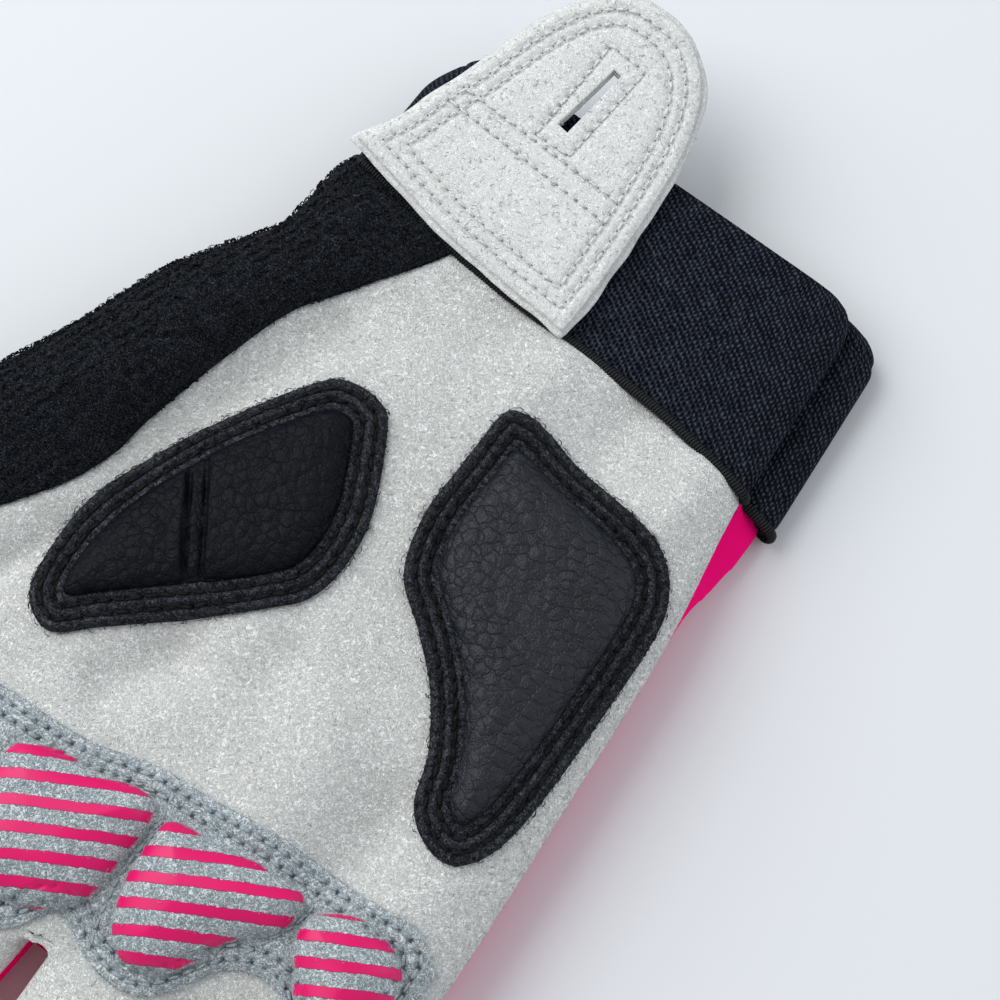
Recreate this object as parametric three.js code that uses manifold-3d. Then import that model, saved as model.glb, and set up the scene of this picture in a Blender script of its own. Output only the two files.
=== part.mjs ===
// A right-hand short-finger cycling glove, empty and lying palm up on a table.
// Millimetres. +X is the little-finger side, +Y the wrist, +Z up, out of the palm.
// The origin is the middle of the bounding box at the table.
import * as THREE from 'three';
import { mergeVertices } from 'three/addons/utils/BufferGeometryUtils.js';
import Module from 'manifold-3d';

const wasm = await Module();
wasm.setup();

// Driving dimensions
const wall = 1.5; // suede, knit and terry walls
const gap = 0.3; // clearance between sewn pieces
const seamHeight = 8; // side seam between the palm and the back
const sink = 0.8; // how far a round underside would dip if the table didn't flatten it
const handFold = 3.4; // squareness of the hand's section, 2 is an ellipse
const fingerFold = 2.4; // squareness of a finger's section
const handAround = 40; // facets round the hand
const handSteps = 10; // facets along the hand
const fingerAround = 20;
const fingerSteps = 4;
const thumbAround = 24;
const padAround = 30; // facets round a pad's outline

// The hand from wrist to knuckles. right is the edge of the palm, under that of the back below it.
const handRows = [
  { y: 24, left: -50.5, right: 27.5, under: 33.2, top: 12.6 },
  { y: 12, left: -50.8, right: 29.3, under: 32.6, top: 14.0 },
  { y: -5, left: -50.5, right: 31.8, under: 31.0, top: 15.6 },
  { y: -30, left: -49.0, right: 33.8, under: 31.4, top: 16.0 },
  { y: -52, left: -51, right: 35.4, under: 33.0, top: 15.4 },
  { y: -68, left: -54.8, right: 35.8, under: 34.2, top: 14.8 },
  { y: -78, left: -55.6, right: 34.2, under: 33.6, top: 12.6 },
];

// The cuff seam runs a little aslant, and so does the line of the finger roots.
const wristLine = [
  { x: -51, y: 29.8 }, { x: -30, y: 26.1 }, { x: -19, y: 25.2 }, { x: 9, y: 24.1 }, { x: 27.4, y: 21.6 },
  { x: 34, y: 20.8 },
];
const rootLine = [
  { x: -56, y: -82 }, { x: -34.5, y: -89 }, { x: -12.7, y: -89 }, { x: 0, y: -86 }, { x: 12, y: -77.5 },
  { x: 36, y: -76 },
];

// Each finger stall from inside the hand to its open end, half is half its width.
const fingers = [
  { name: 'index', x: -44.2, y: -64, half: 9.9, top: 14.6, tipX: -50.5, tipY: -111, tipHalf: 9.8 },
  { name: 'middle', x: -23.8, y: -64, half: 10.8, top: 14.8, tipX: -25.5, tipY: -118, tipHalf: 10 },
  { name: 'ring', x: -1.6, y: -64, half: 10.7, top: 14.6, tipX: -0.4, tipY: -113, tipHalf: 9.6 },
  { name: 'little', x: 22.4, y: -64, half: 10.6, top: 14.2, tipX: 27.4, tipY: -103, tipHalf: 8.9 },
];
const fingerTipTop = 13.4;

// The thumb stall's centre line from the wrist to its open end.
const thumbRows = [
  { x: -37.5, y: 12, half: 13.5, top: 12.8 },
  { x: -44, y: -6, half: 17.4, top: 15.0 },
  { x: -51, y: -22, half: 15.6, top: 16.2 },
  { x: -61.5, y: -42, half: 14.4, top: 15.8 },
  { x: -75, y: -60, half: 13.2, top: 14.2 },
];

// Edge of the terry panel on the palm side and on the back, from the wrist to the thumb's end.
const terryFrontEdge = [
  { x: -24.5, y: 37 }, { x: -29.3, y: 25 }, { x: -35.7, y: 13.4 }, { x: -40.3, y: 5 },
  { x: -43.6, y: -6 }, { x: -46.9, y: -21 }, { x: -48.8, y: -33 }, { x: -54.5, y: -43 },
  { x: -63, y: -53 }, { x: -76, y: -71 },
];
const terryBackEdge = [
  { x: -31, y: 37 }, { x: -36, y: 24 }, { x: -43, y: 4 }, { x: -46, y: -20 }, { x: -47, y: -40 },
  { x: -50, y: -52.5 }, { x: -56.6, y: -60 }, { x: -70, y: -80 },
];

// The elastic cuff: a flattened tube, folded once on the little-finger side.
const cuff = { end: 54.5, thick: 1.6, lean: 3.2, around: 52 };
const cuffProfile = [
  { x: -50.5, z: 6.2 }, { x: -48.6, z: 10.6 }, { x: -43, z: 12.3 }, { x: -20, z: 12.6 }, { x: 4, z: 12.6 },
  { x: 20, z: 12.4 }, { x: 26, z: 11.4 }, { x: 27.8, z: 9.4 }, { x: 27, z: 7.6 }, { x: 30, z: 6.6 },
  { x: 33, z: 5 }, { x: 33.7, z: 2.6 }, { x: 32, z: 0.5 }, { x: 26, z: 0 }, { x: 2, z: 0 },
  { x: -24, z: 0 },
  { x: -43, z: 0 }, { x: -48.6, z: 1.9 },
];

// The pull tab: two suede layers over the cuff, a straight base and a round end.
const tab = { centreX: -24.6, centreY: 58, radius: 15, leftX: -49.3, leftY: 29.3, rightX: -8, rightY: 24.6 };
const tabLayer = 1.3;
const tabRise = 4; // how far the free end stands up
const tabRiseStart = 44;
const slit = { x: -25, y: 55.4, width: 2.2, length: 12, turn: -0.1 };

// Outlines of the two leather pads on the heel of the hand.
const heelOutline = [
  [-6.7, 9.2], [-4.2, 11.4], [6.5, 10.2], [18.1, 8.8], [23.8, 6.9], [27.6, 3], [29.6, -3.3],
  [30.4, -17.5], [30.7, -31],
  [29.8, -40], [26.6, -45.4], [21.8, -45.6], [17, -42.2], [14.4, -35.5], [9.2, -28.3], [3, -22.8],
  [-3.6, -17.6],
  [-6.6, -9], [-6.9, 0],
];
const thenarOutline = [
  [-18.4, -2.1], [-21.9, 0.5], [-27.1, 0.3], [-31, -2.6], [-38, -13.6], [-42.2, -22.3], [-45, -31],
  [-46.4, -41],
  [-44.6, -50.5], [-38.6, -53.6], [-33, -49], [-27.4, -44], [-20.5, -37.8], [-15.3, -32.6], [-11.7, -28],
  [-10.7, -21.6],
  [-12.3, -13.4],
];
const padBorder = 4.6; // width of the stitched border
const padBorderThick = 1.4;
const padCushionThick = 4.2;
const padBase = 10; // pads are cut from blanks that start at this height
const thenarChannel = { x: -30.6, y: -30.4, turn: 0.9, width: 1.2 }; // sewn line across the thumb-side pad

// The knuckle patch: upper and lower edge at each x, and the gel domes under it.
const patchRows = [
  { x: -53, upper: -66, lower: -80 }, { x: -47, upper: -63.5, lower: -88 },
  { x: -41, upper: -63.4, lower: -89 },
  { x: -35, upper: -63, lower: -82 }, { x: -29, upper: -62.6, lower: -89 },
  { x: -23, upper: -61.8, lower: -90.5 },
  { x: -17, upper: -59.9, lower: -88.5 }, { x: -12.5, upper: -58.8, lower: -82.5 },
  { x: -7, upper: -58.3, lower: -84.5 },
  { x: -2, upper: -57.6, lower: -85.5 }, { x: 3, upper: -56.9, lower: -84.6 },
  { x: 6.4, upper: -56.5, lower: -81 },
  { x: 9.6, upper: -56.3, lower: -75.6 }, { x: 14.3, upper: -56.2, lower: -72.9 },
  { x: 18.6, upper: -56.1, lower: -73.6 },
  { x: 23, upper: -55.6, lower: -78 }, { x: 28, upper: -55.2, lower: -80.5 },
  { x: 33.2, upper: -58.5, lower: -75 },
];
const patchThick = 1.2;
const patchDip = 3.2; // how far the patch follows the skin down
const gelDomes = [
  { x: -45, y: -75, long: 9, short: 7.4, turn: 0, rise: 2.4 },
  { x: -22.2, y: -73.4, long: 12.6, short: 9.6, turn: 0.35, rise: 3.2 },
  { x: 2.4, y: -71.4, long: 13.6, short: 9, turn: 0.85, rise: 3.4 },
  { x: 23.8, y: -66.2, long: 9.2, short: 7.8, turn: -0.2, rise: 3 },
];

const suede = { color: 0xcdd2d1, roughness: 0.95, metalness: 0 };
const magentaKnit = { color: 0xd1035c, roughness: 0.6, metalness: 0 };
const terry = { color: 0x16181c, roughness: 1, metalness: 0 };
const elastic = { color: 0x24272b, roughness: 0.85, metalness: 0 };
const leather = { color: 0x2e3137, roughness: 0.55, metalness: 0 };
const padEdge = { color: 0x1a1c1f, roughness: 0.95, metalness: 0 };
const greySuede = { color: 0x88939d, roughness: 0.95, metalness: 0 };

// A smooth curve through one column of a table, key is the column that the rows are sorted by.
function columnAt(rows, key, column, value) {
  const rising = rows[rows.length - 1][key] > rows[0][key];
  const passed = rows.findIndex((row) => (rising ? row[key] > value : row[key] < value));
  const i = passed < 0 ? rows.length - 2 : Math.max(0, passed - 1);
  const [a, b] = [rows[i], rows[i + 1]];
  const [before, after] = [rows[Math.max(0, i - 1)], rows[Math.min(rows.length - 1, i + 2)]];
  const t = THREE.MathUtils.clamp((value - a[key]) / (b[key] - a[key]), 0, 1);
  const slopeA = ((b[column] - before[column]) / (b[key] - before[key])) * (b[key] - a[key]);
  const slopeB = ((after[column] - a[column]) / (after[key] - a[key])) * (b[key] - a[key]);
  const bend = (2 * t ** 3 - 3 * t ** 2 + 1) * a[column] + (t ** 3 - 2 * t ** 2 + t) * slopeA;
  return bend + (-2 * t ** 3 + 3 * t ** 2) * b[column] + (t ** 3 - t ** 2) * slopeB;
}

// Moves every vertex of a three.js geometry to where place says.
function shaped(geometry, place) {
  const spots = geometry.getAttribute('position');
  const p = new THREE.Vector3();
  for (let i = 0; i < spots.count; i += 1) {
    p.fromBufferAttribute(spots, i);
    spots.setXYZ(i, ...place(p));
  }
  return geometry;
}

function solidOf(geometry) {
  geometry.deleteAttribute('normal');
  geometry.deleteAttribute('uv');
  const merged = mergeVertices(geometry, 1e-4);
  const vertProperties = Float32Array.from(merged.getAttribute('position').array);
  const triVerts = Uint32Array.from(merged.index.array);
  return new wasm.Manifold(new wasm.Mesh({ numProp: 3, vertProperties, triVerts }));
}

function meshOf(name, solid, look) {
  const { vertProperties, triVerts, numProp } = solid.getMesh();
  const geometry = new THREE.BufferGeometry();
  geometry.setAttribute('position', new THREE.BufferAttribute(vertProperties, numProp));
  geometry.setIndex(new THREE.BufferAttribute(triVerts, 1));
  geometry.computeVertexNormals();
  const mesh = new THREE.Mesh(geometry, new THREE.MeshStandardMaterial(look));
  mesh.name = name;
  return mesh;
}

// A rounded square ring's corner point for a unit circle point (c, s).
function folded(c, s, squareness) {
  const bulge = 2 / squareness;
  return [Math.sign(c) * Math.abs(c) ** bulge, Math.sign(s) * Math.abs(s) ** bulge];
}

// Height of a section's skin: s runs from -1 under the glove to 1 on the palm, and the table
// flattens the underside.
function skinHeight(s, top, grow) {
  const reach = s > 0 ? top - seamHeight + grow : seamHeight + sink + grow;
  return Math.max(-grow, seamHeight + s * reach);
}

// Runs the hand's two ends along the cuff seam and the finger roots.
function slanted(x, y) {
  const [wrist, roots] = [handRows[0].y, handRows[handRows.length - 1].y];
  const wristShift = THREE.MathUtils.smoothstep(y, 0, wrist) * (columnAt(wristLine, 'x', 'y', x) - wrist);
  const rootShift = THREE.MathUtils.smoothstep(-y, 55, -roots) * (columnAt(rootLine, 'x', 'y', x) - roots);
  return y + wristShift + rootShift;
}

// The hand's skin, grown outwards by grow. openBy carries the wrist end past the hand's own end.
function hand(grow, openBy = 0) {
  const from = handRows[0].y + openBy;
  const to = handRows[handRows.length - 1].y - grow;
  return solidOf(shaped(new THREE.CylinderGeometry(1, 1, 1, handAround, handSteps), (p) => {
    const y = THREE.MathUtils.lerp(to, from, p.y + 0.5);
    const row = (column) => columnAt(handRows, 'y', column, y);
    const [c, s] = folded(p.x, p.z, handFold);
    const middle = (row('left') + row('right')) / 2;
    const half = (row('right') - row('left')) / 2 + grow;
    const tuck = THREE.MathUtils.smoothstep(-s, 0, 0.75) * (row('under') - row('right'));
    const x = middle + c * (half + (c > 0 ? tuck : 0));
    return [x, slanted(x, y), skinHeight(s, row('top'), grow)];
  }));
}

// A stall's skin round a centre line, which is a list of {x, y, half, top}.
function stall(rows, around, steps, grow, openBy = 0) {
  const line = new THREE.CatmullRomCurve3(rows.map((row) => new THREE.Vector3(row.x, row.y, 0)));
  const measures = rows.map((row, i) => ({ at: i / (rows.length - 1), half: row.half, top: row.top }));
  return solidOf(shaped(new THREE.CylinderGeometry(1, 1, 1, around, steps), (p) => {
    const t = 0.5 - p.y;
    const centre = line.getPoint(t);
    const along = line.getTangent(t);
    centre.addScaledVector(along, t === 1 ? openBy : 0);
    const [c, s] = folded(p.x, p.z, fingerFold);
    const half = columnAt(measures, 'at', 'half', t) + grow;
    const top = columnAt(measures, 'at', 'top', t);
    return [centre.x - along.y * c * half, centre.y + along.x * c * half, skinHeight(s, top, grow)];
  }));
}

const fingerRows = (f) => [
  { x: f.x, y: f.y, half: f.half, top: f.top },
  { x: f.tipX, y: f.tipY, half: f.tipHalf, top: fingerTipTop },
];

// The whole outer skin as one solid, or the room inside it if grow is negative.
function body(grow, openBy = 0) {
  const stalls = fingers.map((f) => stall(fingerRows(f), fingerAround, fingerSteps, grow, openBy));
  stalls.push(stall(thumbRows, thumbAround, thumbRows.length * 2 - 2, grow, openBy));
  return stalls.reduce((sum, part) => sum.add(part), hand(grow, openBy));
}

function layer(low, high) {
  const size = 400;
  return solidOf(new THREE.BoxGeometry(size, size, high - low).translate(0, 0, (low + high) / 2));
}

// Everything on the thumb side of an edge, between two heights.
function thumbSide(edge, shift, low, high) {
  const far = -120;
  const shape = new THREE.Shape([
    ...edge.map((p) => new THREE.Vector2(p.x + shift, p.y)),
    new THREE.Vector2(far, edge[edge.length - 1].y),
    new THREE.Vector2(far, edge[0].y),
  ]);
  const slab = new THREE.ExtrudeGeometry(shape, { depth: high - low, bevelEnabled: false });
  return solidOf(slab.translate(0, 0, low));
}

// Smooth height of the palm's skin over the hand.
function palmHeight(x, y) {
  const row = (column) => columnAt(handRows, 'y', column, y);
  const middle = (row('left') + row('right')) / 2;
  const across = Math.min(1, Math.abs((x - middle) / ((row('right') - row('left')) / 2)));
  return seamHeight + (row('top') - seamHeight) * (1 - across ** handFold) ** (1 / handFold);
}

// A closed outline through points, as evenly spaced points.
function outlineOf(points, count) {
  const curve = new THREE.CatmullRomCurve3(points.map(([x, y]) => new THREE.Vector3(x, y, 0)), true);
  return curve.getSpacedPoints(count).slice(0, count);
}

function inset(outline, distance) {
  return outline.map((p, i) => {
    const next = outline[(i + 1) % outline.length];
    const last = outline[(i + outline.length - 1) % outline.length];
    const along = next.clone().sub(last).normalize();
    const turned = Math.sign(THREE.ShapeUtils.area(outline));
    return new THREE.Vector3(p.x - along.y * distance * turned, p.y + along.x * distance * turned, 0);
  });
}

// A plate over an outline. rings are shares of the way out from its middle, and top and bottom give
// its heights.
function plate(outline, rings, bottom, top) {
  const middle = outline.reduce((sum, p) => sum.add(p), new THREE.Vector3()).divideScalar(outline.length);
  const profile = [...rings.map((r) => [r, 0]), ...rings.toReversed().map((r) => [r, 1])];
  const revolved = new THREE.LatheGeometry(profile.map(([r, z]) => new THREE.Vector2(r, z)), outline.length);
  const turned = THREE.ShapeUtils.area(outline) > 0 ? 1 : -1;
  return solidOf(shaped(revolved, (p) => {
    const out = Math.hypot(p.x, p.z);
    const step = Math.round((Math.atan2(p.x, p.z) / (2 * Math.PI)) * outline.length) * turned;
    const edge = outline[(step + 2 * outline.length) % outline.length];
    const spot = middle.clone().lerp(edge, out);
    return [spot.x, spot.y, p.y > 0.5 ? top(spot.x, spot.y, out) : bottom(spot.x, spot.y, out)];
  }));
}

const glove = new THREE.Group();
const clearBody = body(gap);
const shell = body(0).subtract(body(-wall, 3));
const half = gap / 2;

// Suede palm with the fronts of the fingers and of the thumb
function palmPanel() {
  const front = shell.intersect(layer(seamHeight + half, 60));
  return meshOf('palm_panel', front.subtract(thumbSide(terryFrontEdge, half, 0, 60)), suede);
}

// Knit back with the backs of the fingers
function backPanel() {
  const back = shell.intersect(layer(-20, seamHeight - half));
  return meshOf('back_panel', back.subtract(thumbSide(terryBackEdge, half, -20, 60)), magentaKnit);
}

// Terry panel round the thumb
function thumbPanel() {
  const lap = 0.5;
  const front = thumbSide(terryFrontEdge, -half, seamHeight - half - lap, 60);
  const back = thumbSide(terryBackEdge, -half, -20, seamHeight - half);
  return meshOf('thumb_panel', shell.intersect(front.add(back)), terry);
}

// A tube whose wall lies between two outlines. place takes a point of an outline and its share of
// the way along.
function sleeve(outer, inner, steps, place) {
  const up = Array.from({ length: steps + 1 }, (_, i) => new THREE.Vector2(2, i / steps));
  const down = up.toReversed().map((p) => new THREE.Vector2(1, p.y));
  const ring = new THREE.LatheGeometry([...up, ...down, up[0]], outer.length);
  return solidOf(shaped(ring, (p) => {
    const step = Math.round((Math.atan2(p.x, p.z) / (2 * Math.PI)) * outer.length);
    const wallSide = Math.hypot(p.x, p.z) > 1.5 ? outer : inner;
    const spot = wallSide[(step + outer.length) % outer.length];
    return place(spot, p.y);
  }));
}

// Elastic cuff
function cuffBand() {
  const curve = new THREE.CatmullRomCurve3(cuffProfile.map(({ x, z }) => new THREE.Vector3(x, z, 0)), true);
  const outer = curve.getSpacedPoints(cuff.around).slice(0, cuff.around);
  outer.forEach((p) => p.setY(Math.max(0, p.y)));
  return meshOf('cuff_band', sleeve(outer, inset(outer, cuff.thick), 3, (spot, share) => {
    const lean = cuff.lean * share * THREE.MathUtils.smoothstep(spot.x, 5, 30);
    const start = columnAt(wristLine, 'x', 'y', spot.x) + 1.5 * gap;
    return [spot.x - lean, THREE.MathUtils.lerp(start, cuff.end, share), spot.y];
  }), elastic);
}

const tabReach = tab.centreY + tab.radius - tabRiseStart;
const tabHeight = (y) => 13 + tabRise * Math.max(0, (y - tabRiseStart) / tabReach) ** 2;

// One layer of the tab, grown sideways by grow, its underside at lift over the cuff.
function tabLayerAt(name, lift, grow) {
  const shape = new THREE.Shape().moveTo(tab.leftX - grow, tab.leftY).lineTo(tab.rightX, tab.rightY);
  shape.absarc(tab.centreX, tab.centreY, tab.radius + grow, 0, Math.PI).closePath();
  const outline = shape.getSpacedPoints(40).slice(0, 40).map((p) => new THREE.Vector3(p.x, p.y, 0));
  const bottom = (x, y) => tabHeight(y) + lift;
  const sheet = plate(outline, [0, 0.5, 1], bottom, (x, y) => bottom(x, y) + tabLayer);
  const cutter = new THREE.BoxGeometry(slit.width, slit.length, 60);
  cutter.rotateZ(slit.turn).translate(slit.x, slit.y, 0);
  return meshOf(name, sheet.subtract(solidOf(cutter)), suede);
}

const domed = (out) => Math.sqrt(Math.max(0, 1 - out ** 5));

// A pad's stitched border: a flat ring on the palm
function padBorderRing(name, points) {
  const outline = outlineOf(points, padAround);
  const rings = [0, 0.5, 0.8, 1];
  const ring = plate(outline, rings, () => padBase, (x, y) => palmHeight(x, y) + padBorderThick);
  const hole = plate(inset(outline, padBorder), [0, 1], () => -1, () => 60);
  return meshOf(name, ring.subtract(hole).subtract(clearBody), padEdge);
}

function padCushion(points) {
  const outline = inset(outlineOf(points, padAround), padBorder + gap);
  const rings = [0, 0.55, 0.8, 0.94, 1];
  const top = (x, y, out) => palmHeight(x, y) + 1 + (padCushionThick - 1) * domed(out);
  return plate(outline, rings, () => padBase, top).subtract(clearBody);
}

// The thumb-side pad is sewn across, which makes two cushions.
function thenarCushions() {
  const cushion = padCushion(thenarOutline);
  const { x, y, turn, width } = thenarChannel;
  const side = (sign) => solidOf(new THREE.BoxGeometry(80, 80, 80).translate(0, sign * (40 + width / 2), 0)
    .rotateZ(turn).translate(x, y, 0));
  return [
    meshOf('thenar_cushion_large', cushion.intersect(side(1)), leather),
    meshOf('thenar_cushion_small', cushion.intersect(side(-1)), leather),
  ];
}

function gelHeight(x, y) {
  return gelDomes.reduce((height, dome) => {
    const [dx, dy] = [x - dome.x, y - dome.y];
    const along = (dx * Math.cos(dome.turn) + dy * Math.sin(dome.turn)) / dome.long;
    const across = (dy * Math.cos(dome.turn) - dx * Math.sin(dome.turn)) / dome.short;
    return Math.max(height, dome.rise * Math.sqrt(Math.max(0, 1 - (along ** 2 + across ** 2) ** 1.5)));
  }, 0);
}

function knucklePatch() {
  const [first, last] = [patchRows[0].x, patchRows[patchRows.length - 1].x];
  const block = new THREE.BoxGeometry(1, 1, 1, 26, 7, 1);
  const slab = solidOf(shaped(block, (p) => {
    const x = THREE.MathUtils.lerp(first, last, p.x + 0.5);
    const [upper, lower] = ['upper', 'lower'].map((column) => columnAt(patchRows, 'x', column, x));
    const y = THREE.MathUtils.lerp(lower, upper, p.y + 0.5);
    const skin = Math.max(palmHeight(x, Math.max(y, -68)), 14);
    return [x, y, p.z > 0 ? skin + patchThick + gelHeight(x, y) : skin - patchDip];
  }));
  return meshOf('knuckle_patch', slab.subtract(clearBody), greySuede);
}

glove.add(palmPanel());
glove.add(backPanel());
glove.add(thumbPanel());
glove.add(cuffBand());
glove.add(tabLayerAt('pull_tab_backing', 0, 0.8));
glove.add(tabLayerAt('pull_tab_face', tabLayer + gap, 0));
glove.add(padBorderRing('heel_pad_border', heelOutline));
glove.add(meshOf('heel_cushion', padCushion(heelOutline), leather));
glove.add(padBorderRing('thenar_pad_border', thenarOutline));
thenarCushions().forEach((cushion) => glove.add(cushion));
glove.add(knucklePatch());

const box = new THREE.Box3().setFromObject(glove);
glove.position.set(-(box.min.x + box.max.x) / 2, -(box.min.y + box.max.y) / 2, -box.min.z);

export default glove;
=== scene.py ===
import math
import random
from bisect import bisect_right
import bmesh
import bpy
from mathutils import Matrix, Vector, noise
from mathutils.bvhtree import BVHTree
from mathutils.kdtree import KDTree


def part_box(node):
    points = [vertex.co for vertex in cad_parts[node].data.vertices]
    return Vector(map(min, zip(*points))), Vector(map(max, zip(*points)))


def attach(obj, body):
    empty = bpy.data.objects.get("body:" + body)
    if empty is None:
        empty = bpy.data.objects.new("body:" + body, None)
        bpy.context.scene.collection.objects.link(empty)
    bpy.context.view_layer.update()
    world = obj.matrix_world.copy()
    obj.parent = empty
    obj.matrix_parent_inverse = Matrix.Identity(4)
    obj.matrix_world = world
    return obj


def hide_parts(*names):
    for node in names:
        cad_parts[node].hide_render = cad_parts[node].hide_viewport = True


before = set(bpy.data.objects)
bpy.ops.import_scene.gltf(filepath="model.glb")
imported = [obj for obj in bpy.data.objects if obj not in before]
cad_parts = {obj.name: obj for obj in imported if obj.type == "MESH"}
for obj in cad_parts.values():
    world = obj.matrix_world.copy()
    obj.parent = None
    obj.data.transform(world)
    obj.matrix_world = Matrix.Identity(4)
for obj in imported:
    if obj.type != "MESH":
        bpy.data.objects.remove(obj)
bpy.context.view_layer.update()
print("frame loaded")

# Everything is drawn in millimetres on the glove's own layout, +Y to the wrist and
# +X to the little finger, and goes to metres when a piece is finished. The layout's origin is
# 85.56 mm in from the thumb's end and 54.5 mm from the cuff's end.
layout = {"fromThumb": 0.08556, "fromCuffEnd": 0.0545}
layoutOrigin = Vector((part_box("thumb_panel")[0].x + layout["fromThumb"],
                       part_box("cuff_band")[1].y - layout["fromCuffEnd"], 0))


def clamp(value, low=0.0, high=1.0):
    return max(low, min(high, value))


def mix(a, b, share):
    return a + (b - a) * share


def ease(low, high, value):
    t = clamp((value - low) / (high - low))
    return t * t * (3 - 2 * t)


def bell(distance, width):
    return math.exp(-((distance / width) ** 2))


def along(rows, key, column, value):  # smooth curve through one column of a table
    ascending = rows[-1][key] > rows[0][key]
    spot = len(rows) - 2
    for i, row in enumerate(rows):
        if (row[key] > value) if ascending else (row[key] < value):
            spot = max(0, i - 1)
            break
    a, b = rows[spot], rows[spot + 1]
    before, after = rows[max(0, spot - 1)], rows[min(len(rows) - 1, spot + 2)]
    t = clamp((value - a[key]) / (b[key] - a[key]))
    slopeA = (b[column] - before[column]) / (b[key] - before[key]) * (b[key] - a[key])
    slopeB = (after[column] - a[column]) / (after[key] - a[key]) * (b[key] - a[key])
    bend = (2 * t**3 - 3 * t**2 + 1) * a[column] + (t**3 - 2 * t**2 + t) * slopeA
    return bend + (-2 * t**3 + 3 * t**2) * b[column] + (t**3 - t**2) * slopeB


def table(names, rows):
    return [dict(zip(names.split(), row)) for row in rows]


def curvePoints(points, count, closed=False):  # evenly spaced points on a smooth curve
    fine = []
    total = len(points)
    for i in range(total if closed else total - 1):
        p = [Vector(points[(i + k) % total]) if closed else Vector(points[max(0, min(total - 1, i + k))])
             for k in (-1, 0, 1, 2)]
        for k in range(12):
            t = k / 12
            fine.append(0.5 * (2 * p[1] + (p[2] - p[0]) * t + (2 * p[0] - 5 * p[1] + 4 * p[2] - p[3]) * t * t
                               + (3 * p[1] - p[0] - 3 * p[2] + p[3]) * t**3))
    fine.append(Vector(points[0]) if closed else Vector(points[-1]))
    reach = reachOf(fine)
    spaced, i = [], 0
    for k in range(count):
        want = reach[-1] * k / (count if closed else count - 1)
        while i < len(reach) - 2 and reach[i + 1] < want:
            i += 1
        share = clamp((want - reach[i]) / max(1e-9, reach[i + 1] - reach[i]))
        spaced.append(fine[i].lerp(fine[i + 1], share))
    return spaced


def reachOf(points):  # how far along the line each point lies
    reach = [0.0]
    for a, b in zip(points, points[1:]):
        reach.append(reach[-1] + (b - a).length)
    return reach


def areaOf(points):  # twice the area inside a closed outline, negative where it runs clockwise
    return sum(a.x * b.y - b.x * a.y for a, b in zip(points, points[1:] + points[:1]))


def movedIn(points, distance):  # a closed outline moved inwards
    turned = 1 if areaOf(points) > 0 else -1
    moved = []
    for i, p in enumerate(points):
        step = (points[(i + 1) % len(points)] - points[i - 1]).normalized()
        moved.append(Vector((p.x - step.y * distance * turned, p.y + step.x * distance * turned)))
    return moved


def insetRow(points, distance, count, rounding):  # a smooth ring of points that far inside an outline
    rim = treeOf(points)
    row = [p for p in movedIn(points, distance) if nearest(rim, p.x, p.y) > distance * 0.96]
    row = curvePoints([tuple(p) for p in row[::3]], count, closed=True)
    for turn in range(rounding):
        row = [(row[i - 1] + p + row[(i + 1) % count]) / 3 for i, p in enumerate(row)]
    return row


def sewingRow(points, distance, count):  # the same as a closed line to sew along
    row = insetRow(points, distance, count, 1)
    return row + row[:1]


def faceUp(bm):  # turns an open sheet's faces to the sky
    bmesh.ops.recalc_face_normals(bm, faces=bm.faces)
    if sum(face.normal.z for face in bm.faces) < 0:
        bmesh.ops.reverse_faces(bm, faces=bm.faces)


def treeOf(points, flat=True):
    tree = KDTree(len(points))
    for i, p in enumerate(points):
        tree.insert((p[0], p[1], 0) if flat else p, i)
    tree.balance()
    return tree


def nearest(tree, x, y):
    return tree.find((x, y, 0))[2]


# Making pieces
def gridPiece(across, along, place, closed=False):  # place puts each point of a grid from its shares u and v
    bm = bmesh.new()
    bmesh.ops.create_grid(bm, x_segments=across, y_segments=along, size=0.5)
    cloth = bm.loops.layers.uv.new("cloth")
    for face in bm.faces:
        for corner in face.loops:
            corner[cloth].uv = (corner.vert.co.x + 0.5, corner.vert.co.y + 0.5)
    for vert in bm.verts:
        vert.co = place(vert.co.x + 0.5, vert.co.y + 0.5)
    if closed:
        bmesh.ops.remove_doubles(bm, verts=bm.verts, dist=1e-3)
    return bm


def objectOf(bm, name):
    mesh = bpy.data.meshes.new(name)
    bm.to_mesh(mesh)
    bm.free()
    made = bpy.data.objects.new(name, mesh)
    bpy.context.collection.objects.link(made)
    return made


def addPiece(bm, name, material, replaced=()):
    bm.transform(Matrix.Translation(layoutOrigin) @ Matrix.Scale(0.001, 4))
    piece = objectOf(bm, name)
    piece.data.shade_smooth()
    piece.data.materials.append(material)
    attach(piece, "root")
    if replaced:
        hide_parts(*replaced)
    return piece


def thicken(piece, thickness, even=True):  # gives a sheet its thickness, inwards
    solid = piece.modifiers.new("cloth thickness", "SOLIDIFY")
    solid.thickness = thickness / 1000
    solid.offset = -1
    solid.use_even_offset = even


def settle(piece):  # keeps the thickened cloth from reaching under the table's top
    shaped = bpy.data.meshes.new_from_object(piece.evaluated_get(bpy.context.evaluated_depsgraph_get()))
    for vert in shaped.vertices:
        vert.co.z = max(0.0, vert.co.z)
    thin = piece.data
    piece.modifiers.clear()
    piece.data = shaped
    bpy.data.meshes.remove(thin)
    shaped.name = piece.name


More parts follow.
